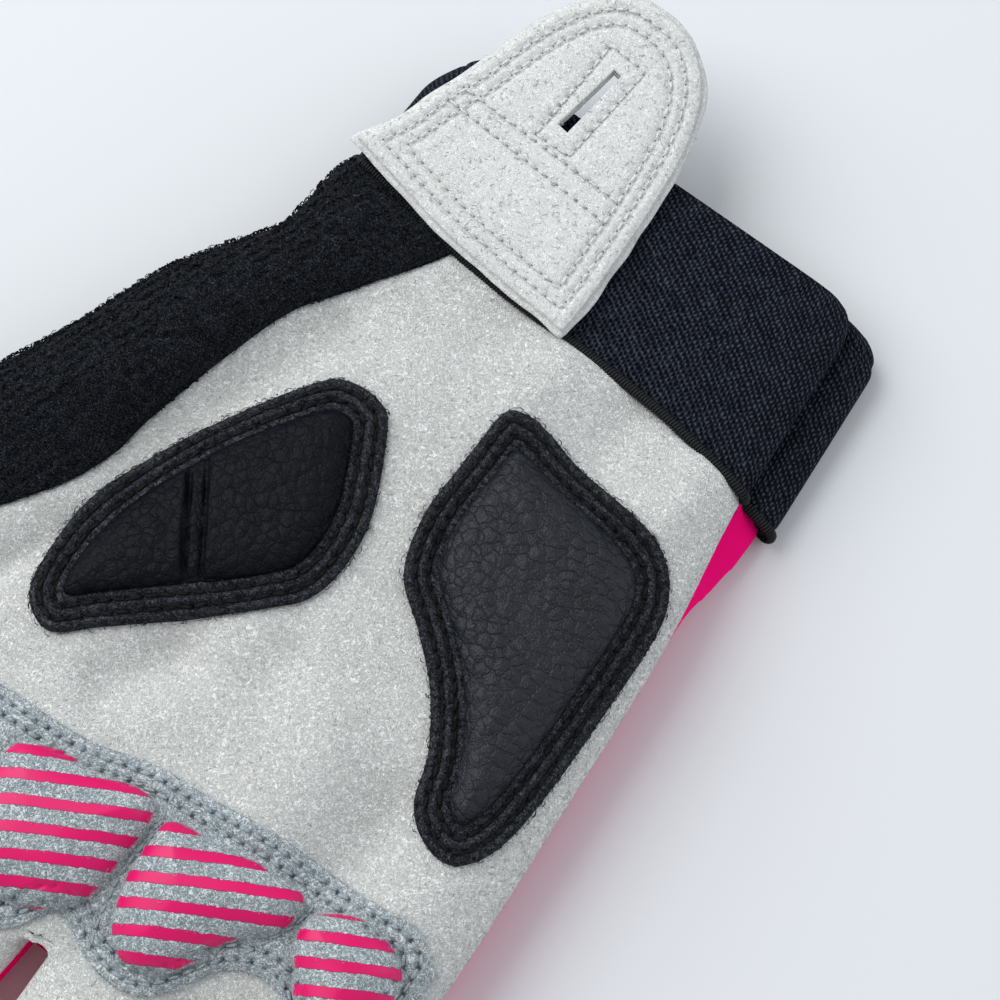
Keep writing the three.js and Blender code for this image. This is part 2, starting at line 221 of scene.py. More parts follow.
def bentThread(radius, thickness, turn, steps, sides):  # a short thread bent round the Y axis, ends down
    bm = bmesh.new()
    bmesh.ops.create_circle(bm, segments=sides, radius=thickness, matrix=Matrix.Translation((radius, 0, 0)))
    bmesh.ops.spin(bm, geom=bm.verts[:] + bm.edges[:], axis=(0, 1, 0), cent=(0, 0, 0), angle=-turn,
                   steps=steps)
    level = Matrix.Rotation((turn - math.pi) / 2, 3, "Y")
    bmesh.ops.rotate(bm, verts=bm.verts, cent=(0, 0, 0), matrix=level)
    bmesh.ops.holes_fill(bm, edges=[e for e in bm.edges if e.is_boundary], sides=0)
    bmesh.ops.recalc_face_normals(bm, faces=bm.faces)
    return bm


def joined(parts):  # several bmeshes as one
    whole = bmesh.new()
    mesh = bpy.data.meshes.new("part")
    for bm in parts:
        bm.to_mesh(mesh)
        bm.free()
        whole.from_mesh(mesh)
    bpy.data.meshes.remove(mesh)
    return whole


def moved(blank, matrix):
    copy = blank.copy()
    copy.transform(matrix)
    return copy


def copiesOf(blanks, places):  # many small shapes as one bmesh, the blanks taken in turn
    return joined(moved(blanks[i % len(blanks)], matrix) for i, matrix in enumerate(places))


def spotsOn(bm, perArea, chance, wanted=None):  # random spots on the faces, with the normals there
    spots = []
    bm.normal_update()
    for face in bm.faces:
        middle = face.calc_center_median()
        if chance.random() < perArea * face.calc_area() and (wanted is None or wanted(middle)):
            corner = face.verts[chance.randrange(len(face.verts))].co
            spots.append((middle.lerp(corner, chance.random()), face.normal.copy()))
    return spots


def standing(spot, normal, turn, lean, size):  # puts a small shape on a surface
    upright = normal.to_track_quat("Z", "Y").to_matrix().to_4x4()
    tilt = Matrix.Rotation(turn, 4, "Z") @ Matrix.Rotation(lean, 4, "X")
    return Matrix.Translation(spot) @ upright @ tilt @ Matrix.Scale(size, 4)


fibre = {
    "bends": [(0.42, 0.055, 1.9), (0.6, 0.05, 1.5), (0.3, 0.055, 2.6)], "sunk": 0.06, "sizes": (0.7, 1.3),
}


def napOf(spots, chance, leanLow=0.95, leanHigh=1.5, size=1.0):  # curled fibres lying on cloth
    places = []
    for spot, normal in spots:
        lean = chance.uniform(leanLow, leanHigh) * chance.choice((-1, 1))
        turn = chance.uniform(0, 6.28)
        places.append(standing(spot - normal * fibre["sunk"], normal, turn, lean,
                               size * chance.uniform(*fibre["sizes"])))
    return copiesOf([bentThread(*bend, 2, 3) for bend in fibre["bends"]], places)


def voxelSkin(bm, voxel):  # one skin round shapes that run into each other
    blank = objectOf(bm, "skin blank")
    remesh = blank.modifiers.new("remesh", "REMESH")
    remesh.mode = "VOXEL"
    remesh.voxel_size = voxel
    shaped = blank.evaluated_get(bpy.context.evaluated_depsgraph_get()).to_mesh()
    skin = bmesh.new()
    skin.from_mesh(shaped)
    bpy.data.objects.remove(blank)
    return skin


# Materials
def linear(code):  # an sRGB hex value as linear colour
    parts = [int(code[i:i + 2], 16) / 255 for i in (1, 3, 5)]
    return tuple(c / 12.92 if c <= 0.04045 else ((c + 0.055) / 1.055) ** 2.4 for c in parts) + (1.0,)


def addNode(tree, kind, inputs=None, take=0, stops=(), **settings):  # adds a node, gives one of its outputs
    made = tree.nodes.new("ShaderNode" + kind)
    for name, value in settings.items():
        setattr(made, name, value)
    for socket, value in (inputs or {}).items():
        if isinstance(value, bpy.types.NodeSocket):
            tree.links.new(value, made.inputs[socket])
        else:
            made.inputs[socket].default_value = value
    if stops:
        points = made.color_ramp.elements
        while len(points) < len(stops):
            points.new(0.5)
        for point, (position, code) in zip(points, stops):
            point.position = position
            point.color = linear(code)
    return made.outputs[take]


def newMaterial(name, roughness, shine=0.5):
    material = bpy.data.materials.new(name)
    material.use_nodes = True
    tree = material.node_tree
    shader = tree.nodes["Principled BSDF"]
    shader.inputs["Roughness"].default_value = roughness
    shader.inputs["Specular IOR Level"].default_value = shine
    return material, tree, shader


def dress(tree, shader, colour, height, depth, strength):  # gives a material its colour and its relief
    tree.links.new(colour, shader.inputs["Base Color"])
    normal = addNode(tree, "Bump", {"Height": height, "Distance": depth / 1000, "Strength": strength})
    tree.links.new(normal, shader.inputs["Normal"])


def perMillimetre(pitch):  # texture scale for a feature of that many millimetres
    return 1000 / pitch


def strands(tree, spots, pitch, width, shift):  # thin curled lines, 1 on a line and 0 between
    moved = addNode(tree, "VectorMath", {0: spots, 1: (shift, shift * 0.6, 0)}, operation="ADD")
    swirl = addNode(tree, "TexNoise", {"Vector": moved, "Scale": perMillimetre(pitch), "Detail": 1.0,
                                       "Distortion": 2.2})
    offset = addNode(tree, "Math", {0: swirl, 1: 0.5}, operation="SUBTRACT")
    fold = addNode(tree, "Math", {0: offset}, operation="ABSOLUTE")
    return addNode(tree, "MapRange", {"Value": fold, "From Max": width, "To Min": 1.0, "To Max": 0.0},
                   interpolation_type="SMOOTHSTEP")


def addUp(tree, parts):  # sum of shares of some values
    total = 0.0
    for share, source in parts:
        total = addNode(tree, "Math", {0: source, 1: share, 2: total}, operation="MULTIPLY_ADD")
    return total


turnEachMillimetre = 6283.185  # in radians per metre


def waves(tree, flat, directions):  # sum of cosines, each with its cycles per millimetre and its share
    parts = []
    for cyclesX, cyclesY, share in directions:
        turns = (cyclesX * turnEachMillimetre, cyclesY * turnEachMillimetre, 0)
        phase = addNode(tree, "VectorMath", {0: flat, 1: turns}, "Value", operation="DOT_PRODUCT")
        parts.append((share, addNode(tree, "Math", {0: phase}, operation="COSINE")))
    return addUp(tree, parts)


def suedeMaterial(name, low, middle, high, nap=1.1, holes="#4a4d4e", depth=0.28):
    # Synthetic suede, brushed: a nap of short curled fibres, no gloss. Its colour is dark between the fibres,
    # painted shade, and light on them, partly their own tone and partly painted highlight.
    # Where the hole attribute marks needle holes, the colour goes to the holes colour: painted shade in the
    # holes.
    material, tree, shader = newMaterial(name, 0.95, 0.12)
    spots = addNode(tree, "TexCoord", take="Object")
    patches = addNode(tree, "TexNoise", {"Vector": spots, "Scale": perMillimetre(9)})
    grain = addNode(tree, "TexNoise", {"Vector": spots, "Scale": perMillimetre(0.42), "Roughness": 0.6})
    tone = addUp(tree, [(0.5, strands(tree, spots, nap, 0.07, 0.0)),
                        (0.4, strands(tree, spots, nap * 0.7, 0.07, 0.3)), (0.45, grain), (0.16, patches)])
    cloth = addNode(tree, "ValToRGB", {"Fac": tone}, stops=[(0.28, low), (0.48, middle), (0.86, high)])
    hole = addNode(tree, "Attribute", take="Fac", attribute_name="hole")
    colour = addNode(tree, "Mix", {0: hole, 6: cloth, 7: linear(holes)}, 2, data_type="RGBA")
    dress(tree, shader, colour, tone, depth, 0.8)
    return material


def terryMaterial():
    # Looped cotton terry, dyed black, dull: the loops are shaped, this is their spun yarn
    material, tree, shader = newMaterial("looped terry, black", 0.95, 0.1)
    spots = addNode(tree, "TexCoord", take="Object")
    fuzz = addNode(tree, "TexNoise", {"Vector": spots, "Scale": perMillimetre(0.35), "Detail": 3.0,
                                      "Distortion": 1.0})
    tone = addUp(tree, [(0.5, fuzz), (0.5, strands(tree, spots, 0.6, 0.09, 0.1))])
    # The colour follows the yarn's height: painted shade in the gaps and painted highlight on the strands,
    # over the yarn's own uneven tone.
    colour = addNode(tree, "ValToRGB", {"Fac": tone},
                     stops=[(0.12, "#050608"), (0.4, "#101318"), (0.85, "#4a5059")])
    dress(tree, shader, colour, tone, 0.25, 0.8)
    return material


def elasticMaterial():
    # Woven elastic: knots 0.57 mm wide and 1 mm tall, each column a third of a knot further on
    material, tree, shader = newMaterial("woven elastic, black", 0.85, 0.06)
    spots = addNode(tree, "TexCoord", take="Object")
    flat = addNode(tree, "UVMap", uv_map="cloth")
    yarn = addNode(tree, "TexNoise", {"Vector": spots, "Scale": perMillimetre(0.4)})
    uneven = addNode(tree, "TexNoise", {"Vector": spots, "Scale": perMillimetre(2.5)})
    sway = addNode(tree, "TexNoise", {"Vector": spots, "Scale": perMillimetre(1.5)}, "Color")
    pulled = addNode(tree, "VectorMath", {0: sway, 1: (0.0009, 0.0009, 0), 2: flat}, operation="MULTIPLY_ADD")
    knots = waves(tree, pulled, [(0.560, 0.984, 0.44), (-1.179, 0.995, 0.22), (1.749, 0.0, 0.34)])
    height = addUp(tree, [(0.42, knots), (0.8, yarn), (0.35, uneven)])
    # The colour follows the knots' height: painted shade in the gaps and painted highlight on the knots,
    # besides the yarn's own uneven tone.
    colour = addNode(tree, "ValToRGB", {"Fac": height},
                     stops=[(0.2, "#030407"), (0.46, "#0f1219"), (0.72, "#272c37"), (1.0, "#4a5160")])
    dress(tree, shader, colour, height, 0.45, 1.0)
    return material


def leatherMaterial(name, creaseShade, top, shine, grain, cracked):
    # Pebbled leather, embossed: soft grains of about 2 mm, creases finer than a hair, satin
    material, tree, shader = newMaterial(name, 0.43, shine)
    spots = addNode(tree, "TexCoord", take="Object")
    warp = addNode(tree, "TexNoise", {"Vector": spots, "Scale": perMillimetre(1.3), "Detail": 3.0}, "Color")
    bent = addNode(tree, "VectorMath", {0: warp, 1: (0.0015, 0.0015, 0.0015), 2: spots},
                   operation="MULTIPLY_ADD")
    grains = {"Vector": bent, "Scale": perMillimetre(grain)}
    pebbles = addNode(tree, "TexVoronoi", {**grains, "Smoothness": 0.35}, feature="SMOOTH_F1")
    edges = addNode(tree, "TexVoronoi", grains, feature="DISTANCE_TO_EDGE")
    crease = addNode(tree, "MapRange", {"Value": edges, "From Max": 0.08}, interpolation_type="SMOOTHSTEP")
    mottle = addNode(tree, "TexNoise", {"Vector": spots, "Scale": perMillimetre(8), "Detail": 3.0})
    pores = addNode(tree, "TexNoise", {"Vector": spots, "Scale": perMillimetre(0.28)})
    clear = addNode(tree, "MapRange", {"Value": mottle, "From Min": 0.25, "From Max": 0.6, "To Min": 0.3})
    cracks = addNode(tree, "Mix", {0: clear, 2: 1.0, 3: crease})
    height = addUp(tree, [(-1.0, pebbles), (cracked, cracks), (0.5, pores)])
    # Along the creases the colour goes to creaseShade: painted shade in the creases, shown more or less by
    # the mottle noise.
    colour = addNode(tree, "ValToRGB", {"Fac": cracks}, stops=[(0.0, creaseShade), (0.7, top)])
    dress(tree, shader, colour, height, 0.44, 0.9)
    return material


def knitMaterial():
    # Warp-knit polyester, magenta: fine wales of 0.6 mm, matt
    material, tree, shader = newMaterial("warp knit, magenta", 0.85, 0.04)
    spots = addNode(tree, "TexCoord", take="Object")
    wales = addNode(tree, "TexWave", {"Vector": spots, "Scale": perMillimetre(0.62) / 2, "Distortion": 0.6,
                                      "Detail": 1.0}, "Fac", bands_direction="X")
    patches = addNode(tree, "TexNoise", {"Vector": spots, "Scale": perMillimetre(12)})
    colour = addNode(tree, "ValToRGB", {"Fac": patches}, stops=[(0.3, "#f80673"), (0.7, "#ff0b7c")])
    dress(tree, shader, colour, wales, 0.05, 0.5)
    return material


stripes = {"along": (0.866, 0.5), "pitch": 3.55}
stripes["across"] = (-stripes["along"][1] * turnEachMillimetre / stripes["pitch"],
                     stripes["along"][0] * turnEachMillimetre / stripes["pitch"], 0)


def patchMaterial():
    # Grey-blue suede with stripes of smooth print on the gel domes, fibres standing through its edges.
    # The dome and pulled attributes say how far inside a dome's rim a spot is, and how its stripes shift.
    material = suedeMaterial("suede, grey blue, printed", "#7d8b91", "#b0bec4", "#eef5f6", 1.2, "#262b31",
                             0.2)
    tree = material.node_tree
    shader = tree.nodes["Principled BSDF"]
    fibreColour = shader.inputs["Base Color"].links[0].from_socket
    spots = addNode(tree, "TexCoord", take="Object")
    edge = addNode(tree, "TexNoise", {"Vector": spots, "Scale": perMillimetre(5), "Detail": 4.0,
                                      "Roughness": 0.7})
    ragged = addNode(tree, "TexNoise", {"Vector": spots, "Scale": perMillimetre(0.7)})
    phase = addNode(tree, "VectorMath", {0: spots, 1: stripes["across"]}, "Value", operation="DOT_PRODUCT")
    pulled = addNode(tree, "Attribute", take="Fac", attribute_name="pulled")
    shaky = addUp(tree, [(1.0, phase), (1.1, edge), (0.7, ragged), (1.0, pulled)])
    wave = addNode(tree, "Math", {0: shaky}, operation="COSINE")
    dome = addNode(tree, "Attribute", take="Fac", attribute_name="dome")
    fray = addUp(tree, [(1.0, dome), (0.9, edge)])
    onDome = addNode(tree, "MapRange", {"Value": fray, "From Min": 0.5, "From Max": 0.75})
    line = addNode(tree, "MapRange", {"Value": wave, "From Min": 0.15, "From Max": 0.26})
    ink = addNode(tree, "Math", {0: onDome, 1: line}, operation="MULTIPLY")
    inkColour = addNode(tree, "ValToRGB", {"Fac": wave}, stops=[(0.2, "#7d093e"), (0.38, "#e20668")])
    colour = addNode(tree, "Mix", {0: ink, 6: fibreColour, 7: inkColour}, 2, data_type="RGBA")
    tree.links.new(colour, shader.inputs["Base Color"])
    gloss = addNode(tree, "MapRange", {"Value": ink, "To Min": 0.93, "To Max": 0.42})
    tree.links.new(gloss, shader.inputs["Roughness"])
    shader.inputs["Specular IOR Level"].default_value = 0.36
    bump = shader.inputs["Normal"].links[0].from_node
    fibres = bump.inputs["Height"].links[0].from_socket
    smoothed = addNode(tree, "Mix", {0: ink, 2: fibres, 3: 1.0})
    tree.links.new(smoothed, bump.inputs["Height"])
    return material


def threadMaterial(name, code, roughness):
    # Spun polyester sewing thread, slightly glossy
    material, tree, shader = newMaterial(name, roughness, 0.3)
    spots = addNode(tree, "TexCoord", take="Object")
    twist = addNode(tree, "TexNoise", {"Vector": spots, "Scale": perMillimetre(0.3), "Detail": 1.0})
    darker = "#" + "".join(f"{int(int(code[i:i + 2], 16) * 0.8):02x}" for i in (1, 3, 5))
    colour = addNode(tree, "ValToRGB", {"Fac": twist}, stops=[(0.3, darker), (0.6, code)])
    tree.links.new(colour, shader.inputs["Base Color"])
    return material


lightSuede = suedeMaterial("suede, light grey", "#bcc1bd", "#e8ebe8", "#ffffff", 1.15, depth=0.24)
tabSuede = suedeMaterial("suede, light grey, tab", "#d8ddda", "#f2f5f3", "#ffffff", 1.1, "#586061", 0.16)
looseFibre = suedeMaterial("suede fibres, light grey", "#dcdfdd", "#ecedec", "#fbfbfa", 0.6)
blackFibre = suedeMaterial("suede fibres, black", "#0b0c0e", "#26282b", "#4c4f54", 0.6)
blueFibre = suedeMaterial("suede fibres, grey blue", "#a5b3b8", "#cdd8db", "#f4fafa", 0.6)
blackTerry = terryMaterial()
blackElastic = elasticMaterial()
padLeather = leatherMaterial("pebbled leather, black", "#07090d", "#131823", 0.4, 2.0, 0.34)
# A darker, duller copy of the pad leather for the thumb-side pad: painted shade on that pad.
shadedThumbLeather = leatherMaterial("pebbled leather, black, painted shade", "#040507", "#080c14", 0.13, 1.8, 0.25)
padSuede = suedeMaterial("suede, black", "#15161a", "#34373d", "#5e626a", 0.9, "#020203", 0.2)
magentaKnit = knitMaterial()
printedSuede = patchMaterial()
paleThread = threadMaterial("sewing thread, light grey", "#e9ecea", 0.8)
blackThread = threadMaterial("sewing thread, black", "#1a1c20", 0.6)
# The black thread made darker for the stitches sunk in the pads' borders: painted shade.
shadedBlackThread = threadMaterial("sewing thread, black, painted shade", "#0c0d10", 0.8)
magentaThread = threadMaterial("sewing thread, magenta", "#c80a5e", 0.7)
# Dark grey for the small discs at the tab's needle holes: painted shade of the holes.
holeShade = threadMaterial("painted shade of needle holes, grey", "#8a9191", 0.9)
blueThread = threadMaterial("sewing thread, grey blue", "#a9b6bc", 0.8)
print("materials made")


# The glove's skin
skinForm = {
    "voxel": 0.8, "seam": 8.0, "sink": 0.8, "handFold": 3.4, "fingerFold": 2.4, "tipTop": 13.4,
    "hand": table("y left right under top", [
        (24, -50.5, 27.5, 35.4, 12.6), (12, -50.8, 29.3, 34.4, 14.0), (-5, -50.5, 31.8, 29.6, 15.6),
        (-30, -49.0, 33.8, 31.4, 16.0), (-52, -51, 35.4, 33.0, 15.4), (-68, -54.8, 35.8, 34.2, 14.8),
        (-78, -55.6, 34.2, 33.6, 12.6)]),
    "fingers": table("x y half top tipX tipY tipHalf", [
        (-44.2, -64, 9.9, 14.6, -50.5, -111, 9.8), (-23.8, -64, 10.8, 14.8, -25.5, -118, 10),
        (-1.6, -64, 10.7, 14.6, -0.4, -113, 9.6), (22.4, -64, 10.6, 14.2, 27.4, -103, 8.9)]),
    "thumb": table("x y half top", [
        (-37.5, 12, 13.5, 12.8), (-44, -6, 17.4, 15.0), (-51, -22, 15.6, 16.2), (-61.5, -42, 14.4, 15.8),
        (-75, -60, 13.2, 14.2)]),
    "wristLine": table("x y", [(-51, 29.8), (-30, 26.1), (-19, 25.2), (9, 24.1), (27.4, 21.6), (34, 20.8)]),
    "rootLine": table("x y", [(-56, -82), (-34.5, -89), (-12.7, -89), (0, -86), (12, -77.5), (36, -76)]),
    "frontEdge": table("y x", [
        (37, -24.5), (25, -28.6), (13.4, -34.9), (5, -40.3), (-6, -43.6), (-21, -46.9), (-33, -48.8),
        (-43, -54.5), (-53, -63), (-71, -76), (-90, -90)]),
    "backEdge": table("y x", [
        (37, -31), (24, -36), (4, -43), (-20, -46), (-40, -47), (-52.5, -50), (-60, -56.6), (-80, -70),
        (-90, -76)]),
}
seamZ = skinForm["seam"]


def folded(angle, squareness):  # a point of a rounded square ring
    c, s = math.cos(angle), math.sin(angle)
    return [math.copysign(abs(a) ** (2 / squareness), a) for a in (c, s)]


def skinHeight(s, top):
    reach = top - seamZ if s > 0 else seamZ + skinForm["sink"]
    return max(0.0, seamZ + s * reach)


def slanted(x, y):  # runs the hand's two ends along the cuff seam and the finger roots
    wrist = ease(0, 24, y) * (along(skinForm["wristLine"], "x", "y", x) - 24)
    return y + wrist + ease(55, 78, -y) * (along(skinForm["rootLine"], "x", "y", x) + 78)


def handPlace(u, v):
    form = skinForm
    y = mix(30, -78, v)
    row = {name: along(form["hand"], "y", name, min(y, 24)) for name in ("left", "right", "under", "top")}
    c, s = folded(2 * math.pi * u, form["handFold"])
    half = (row["right"] - row["left"]) / 2
    tuck = ease(0, 0.75, -s) * (row["under"] - row["right"]) if c > 0 else 0
    x = (row["left"] + row["right"]) / 2 + c * (half + tuck)
    return (x, slanted(x, y), skinHeight(s, row["top"]))


def stallPlace(rows, beyond):
    line = curvePoints([(r["x"], r["y"]) for r in rows], 80)
    marks = [{"at": i / (len(rows) - 1), "half": r["half"], "top": r["top"]} for i, r in enumerate(rows)]
    total = reachOf(line)[-1]
    end = (line[-1] - line[-2]).normalized()

    def place(u, v):
        run = v * (total + beyond)
        t = clamp(run / total)
        i = min(78, int(t * 79))
        spot = line[i].lerp(line[i + 1], clamp(t * 79 - i)) + end * max(0.0, run - total)
        step = (line[i + 1] - line[max(0, i - 1)]).normalized()
        c, s = folded(2 * math.pi * u, skinForm["fingerFold"])
        half = along(marks, "at", "half", t)
        top = along(marks, "at", "top", t)
        return (spot.x - step.y * c * half, spot.y + step.x * c * half, skinHeight(s, top))

    return place


def fingerRows(f):
    return [{"x": f["x"], "y": f["y"], "half": f["half"], "top": f["top"]},
            {"x": f["tipX"], "y": f["tipY"], "half": f["tipHalf"], "top": skinForm["tipTop"]}]


def closedTube(place, around, steps):
    tube = gridPiece(around, steps, place, closed=True)
    bmesh.ops.holes_fill(tube, edges=[e for e in tube.edges if e.is_boundary], sides=0)
    bmesh.ops.recalc_face_normals(tube, faces=tube.faces)
    return tube


relief = {  # folds and hollows of the palm: from x, y to toX, toY, width and height
    "folds": table("x y toX toY width height", [
        (-35, 6, -46, -26, 5, -3.0),      # dip between the terry and the thumb-side pad
        (-42, 18, -62, -34, 8, 3.0),      # the thumb's gusset stands higher
        (-5.5, 11, -4.5, 20, 5, 1.7),     # folds fanning from the cuff seam
        (7.5, 13, 8.5, 21, 4.5, -1.8),
        (22, 21, 21, 12, 4.6, 2.1),
        (-15, 22, -16, 16, 4, -0.8),
        (1, -43, 3, -54, 6.5, 2.2),       # swell and hollow of the lower palm
        (15.5, -44, 15, -54, 5, -1.8),
        (26, -48, 25, -54, 5, 1.2),
        (-17, -40, -15, -36, 4, 1.0),
        (-8, -36, -9, -41, 4, -0.9),
        (-22, -45, -27, -54, 4.2, -2.8),  # crease that runs to the thumb's crotch
    ]),
    "ripple": 0.5, "rippleSize": 15.0,
}


def reliefAt(x, y):
    height = relief["ripple"] * noise.noise(Vector((x, y, 3.0)) / relief["rippleSize"])
    for fold in relief["folds"]:
        a, b, p = Vector((fold["x"], fold["y"])), Vector((fold["toX"], fold["toY"])), Vector((x, y))
        share = clamp((p - a).dot(b - a) / (b - a).length_squared)
        height += fold["height"] * bell((p - a.lerp(b, share)).length, fold["width"])
    return height


def buildSkin():
    stalls = [fingerRows(f) for f in skinForm["fingers"]] + [skinForm["thumb"]]
    tubes = [closedTube(handPlace, 120, 60)] + [closedTube(stallPlace(rows, 4), 64, 40) for rows in stalls]
    skin = voxelSkin(joined(tubes), skinForm["voxel"])
    for turn in range(7):
        bmesh.ops.smooth_vert(skin, verts=skin.verts, factor=0.5, use_axis_x=True, use_axis_y=True,
                              use_axis_z=True)
    for vert in skin.verts:
        x, y, z = vert.co
        vert.co.z = max(0.0, z + reliefAt(x, y) * ease(6, 13, z))
    return skin


def middleOf(face):
    return face.calc_center_median()


def cutPlane(bm, faces, spot, normal, **options):  # a plane cut, its elements in the same order each run
    edges = dict.fromkeys(edge for face in faces for edge in face.edges)
    verts = dict.fromkeys(vert for face in faces for vert in face.verts)
    bmesh.ops.bisect_plane(bm, geom=[*faces, *edges, *verts], plane_co=spot, plane_no=normal, **options)


def cutAlong(bm, faces, axis, edge):  # cuts where the coordinate on that axis equals edge of the point
    for vert in bm.verts:
        vert.co[axis] -= edge(vert.co)
    normal = Vector((0, 0, 0))
    normal[axis] = 1
    cutPlane(bm, faces, (0, 0, 0), normal, dist=1e-3)
    for vert in bm.verts:
        vert.co[axis] += edge(vert.co)


def openEnd(bm, spot, direction, half):  # cuts a stall's end off square
    side = Vector((-direction.y, direction.x, 0))
    faces = [f for f in bm.faces if abs((middleOf(f) - spot).dot(side)) < half
             and (middleOf(f) - spot).dot(direction) > -2]
    cutPlane(bm, faces, spot, direction, dist=1e-3, clear_outer=True)


def frontEdge(co):
    return along(skinForm["frontEdge"], "y", "x", co[1])


def backEdge(co):
    return along(skinForm["backEdge"], "y", "x", co[1])


def wristEdge(co):
    return along(skinForm["wristLine"], "x", "y", co[0])


def keepFaces(skin, wanted):
    part = skin.copy()
    part.faces.ensure_lookup_table()
    drop = [part.faces[i] for i, keep in enumerate(wanted) if not keep]
    bmesh.ops.delete(part, geom=drop, context="FACES")
    return part


def moveBySeams(part, height, shareAt):  # moves cloth along its normals, by its distance from its edges
    rims = treeOf([v.co for v in part.verts if v.is_boundary], flat=False)
    part.normal_update()
    moves = [(vert, vert.normal * height * shareAt(rims.find(vert.co)[2])) for vert in part.verts]
    for vert, move in moves:
        vert.co += move
        vert.co.z = max(vert.co.z, 0.0)


loops = {
    "perArea": 3.1, "lowest": 2.5, "ribPitch": 1.8, "ribSide": (0.96, -0.28), "radius": 0.26, "yarn": 0.14,
    "radii": (0.85, 1.0, 1.25), "sunk": -0.35, "raised": 0.2, "lean": 0.6,
}


def buildLoops(spots, chance):  # the terry's pile, its loops higher along the ribs
    blanks = [bentThread(loops["radius"] * k, loops["yarn"], 3.4, 3, 3) for k in loops["radii"]]
    places = []
    for spot, normal in spots:
        phase = (spot.x * loops["ribSide"][0] + spot.y * loops["ribSide"][1]) / loops["ribPitch"]
        crest = 0.5 + 0.5 * math.cos(2 * math.pi * phase)
        size = mix(0.7, 1.1, crest) * chance.uniform(0.85, 1.15)
        turn = chance.uniform(0, 6.28)
        lean = chance.uniform(-loops["lean"], loops["lean"])
        root = spot + normal * mix(loops["sunk"], loops["raised"], crest)
        places.append(standing(root, normal, turn, lean, size))
    return copiesOf(blanks, places)


skin = buildSkin()
print("skin:", len(skin.faces), "faces")
hem = {
    "back": 3.2, "groove": 0.35, "grooveWidth": 0.8, "pitch": 2.4, "length": 1.9, "thread": 0.22,
    "middle": 7, "thumbEnd": (-75, -60), "thumbRun": (-0.6, -0.8, 0), "thumbHalf": 16.0, "spare": 2.4,
}
stallEnds = [(Vector((*hem["thumbEnd"], hem["middle"])), Vector(hem["thumbRun"]), hem["thumbHalf"])]
for finger in skinForm["fingers"]:
    direction = Vector((finger["tipX"] - finger["x"], finger["tipY"] - finger["y"], 0)).normalized()
    end = Vector((finger["tipX"], finger["tipY"], hem["middle"]))
    stallEnds.append((end, direction, finger["tipHalf"] + hem["spare"]))
for spot, direction, half in stallEnds:
    openEnd(skin, spot, direction, half)
    skin.normal_update()
    side = Vector((-direction.y, direction.x, 0))
    for vert in skin.verts:
        away = vert.co - spot
        if abs(away.dot(side)) < half and -9 < away.dot(direction) < 1:
            share = bell(away.dot(direction) + hem["back"], hem["grooveWidth"])
            vert.co -= vert.normal * hem["groove"] * share
            vert.co.z = max(vert.co.z, 0.0)
skinTree = BVHTree.FromBMesh(skin)


def hemStitches(spot, direction, wanted):  # stitches round a stall, a little back from its end
    centre = spot - direction * hem["back"]
    side = Vector((-direction.y, direction.x, 0))
    ring = []
    for k in range(91):
        angle = 2 * math.pi * k / 90
        ray = side * math.cos(angle) + Vector((0, 0, 1)) * math.sin(angle)
        hit = skinTree.ray_cast(centre, ray)[0]
        ring.append(hit if hit else centre + ray * hem["middle"])
    total = reachOf(ring)[-1]
    ring = curvePoints([tuple(p) for p in ring[:-1]], 360, closed=True)
    places = []
    count = round(total / hem["pitch"])
    for k in range(count):
        i = round(k * 360 / count)
        a, b = ring[i - 1], ring[(i + 1) % 360]
        if wanted(ring[i % 360]):
            turn = (b - a).to_track_quat("Z", "Y").to_matrix().to_4x4()
            size = Matrix.Diagonal((hem["thread"], hem["thread"], hem["length"] / 2, 1))
            places.append(Matrix.Translation(ring[i % 360]) @ turn @ size)
    return places


def stitchesAt(places):  # a thread's short visible lengths
    bm = bmesh.new()
    for matrix in places:
        bmesh.ops.create_uvsphere(bm, u_segments=6, v_segments=5, radius=1, matrix=matrix)
    return bm


def skinAt(x, y):
    hit = skinTree.ray_cast(Vector((x, y, 60)), Vector((0, 0, -1)))
    return hit[0].z if hit[0] else 8.0


cutAlong(skin, [f for f in skin.faces if middleOf(f).y > 15], 1, wristEdge)
past = [f for f in skin.faces if middleOf(f).y > wristEdge(middleOf(f))]
bmesh.ops.delete(skin, geom=past, context="FACES")
cutAlong(skin, skin.faces[:], 2, lambda co: seamZ)
cutAlong(skin, [f for f in skin.faces if middleOf(f).z > seamZ], 0, frontEdge)
cutAlong(skin, [f for f in skin.faces if middleOf(f).z < seamZ], 0, backEdge)
kinds = []
for face in skin.faces:
    spot = middleOf(face)
    upper = spot.z > seamZ
    thumbward = spot.x < (frontEdge(spot) if upper else backEdge(spot))
    kinds.append("terry" if thumbward else "palm" if upper else "back")

panels = {
    "palmThick": 1.3, "palmFibres": 0.95, "sideFibres": 1.8, "sideX": 29, "fibreSize": 0.62, "backThick": 1.3,
    "terryThick": 1.4, "terryFuzz": 1.1, "allowance": 2, "allowanceSunk": 0.9, "allowanceThick": 0.4,
}
palm = keepFaces(skin, [k == "palm" for k in kinds])
moveBySeams(palm, -0.5, lambda away: bell(away, 0.9))
palmChance = random.Random(3)
palmSpots = spotsOn(palm, panels["palmFibres"], palmChance, lambda spot: spot.z > 6)
palmSpots += spotsOn(palm, panels["sideFibres"], palmChance,
                     lambda spot: spot.z > 9 and spot.x > panels["sideX"])
thicken(addPiece(palm, "palm_suede", lightSuede, ["palm_panel"]), panels["palmThick"])
back = keepFaces(skin, [k == "back" for k in kinds])
moveBySeams(back, -0.4, lambda away: bell(away, 0.8))
backPiece = addPiece(back, "back_knit", magentaKnit, ["back_panel"])
thicken(backPiece, panels["backThick"], even=False)
settle(backPiece)
addPiece(napOf(palmSpots, palmChance, size=panels["fibreSize"]), "palm_nap", looseFibre)
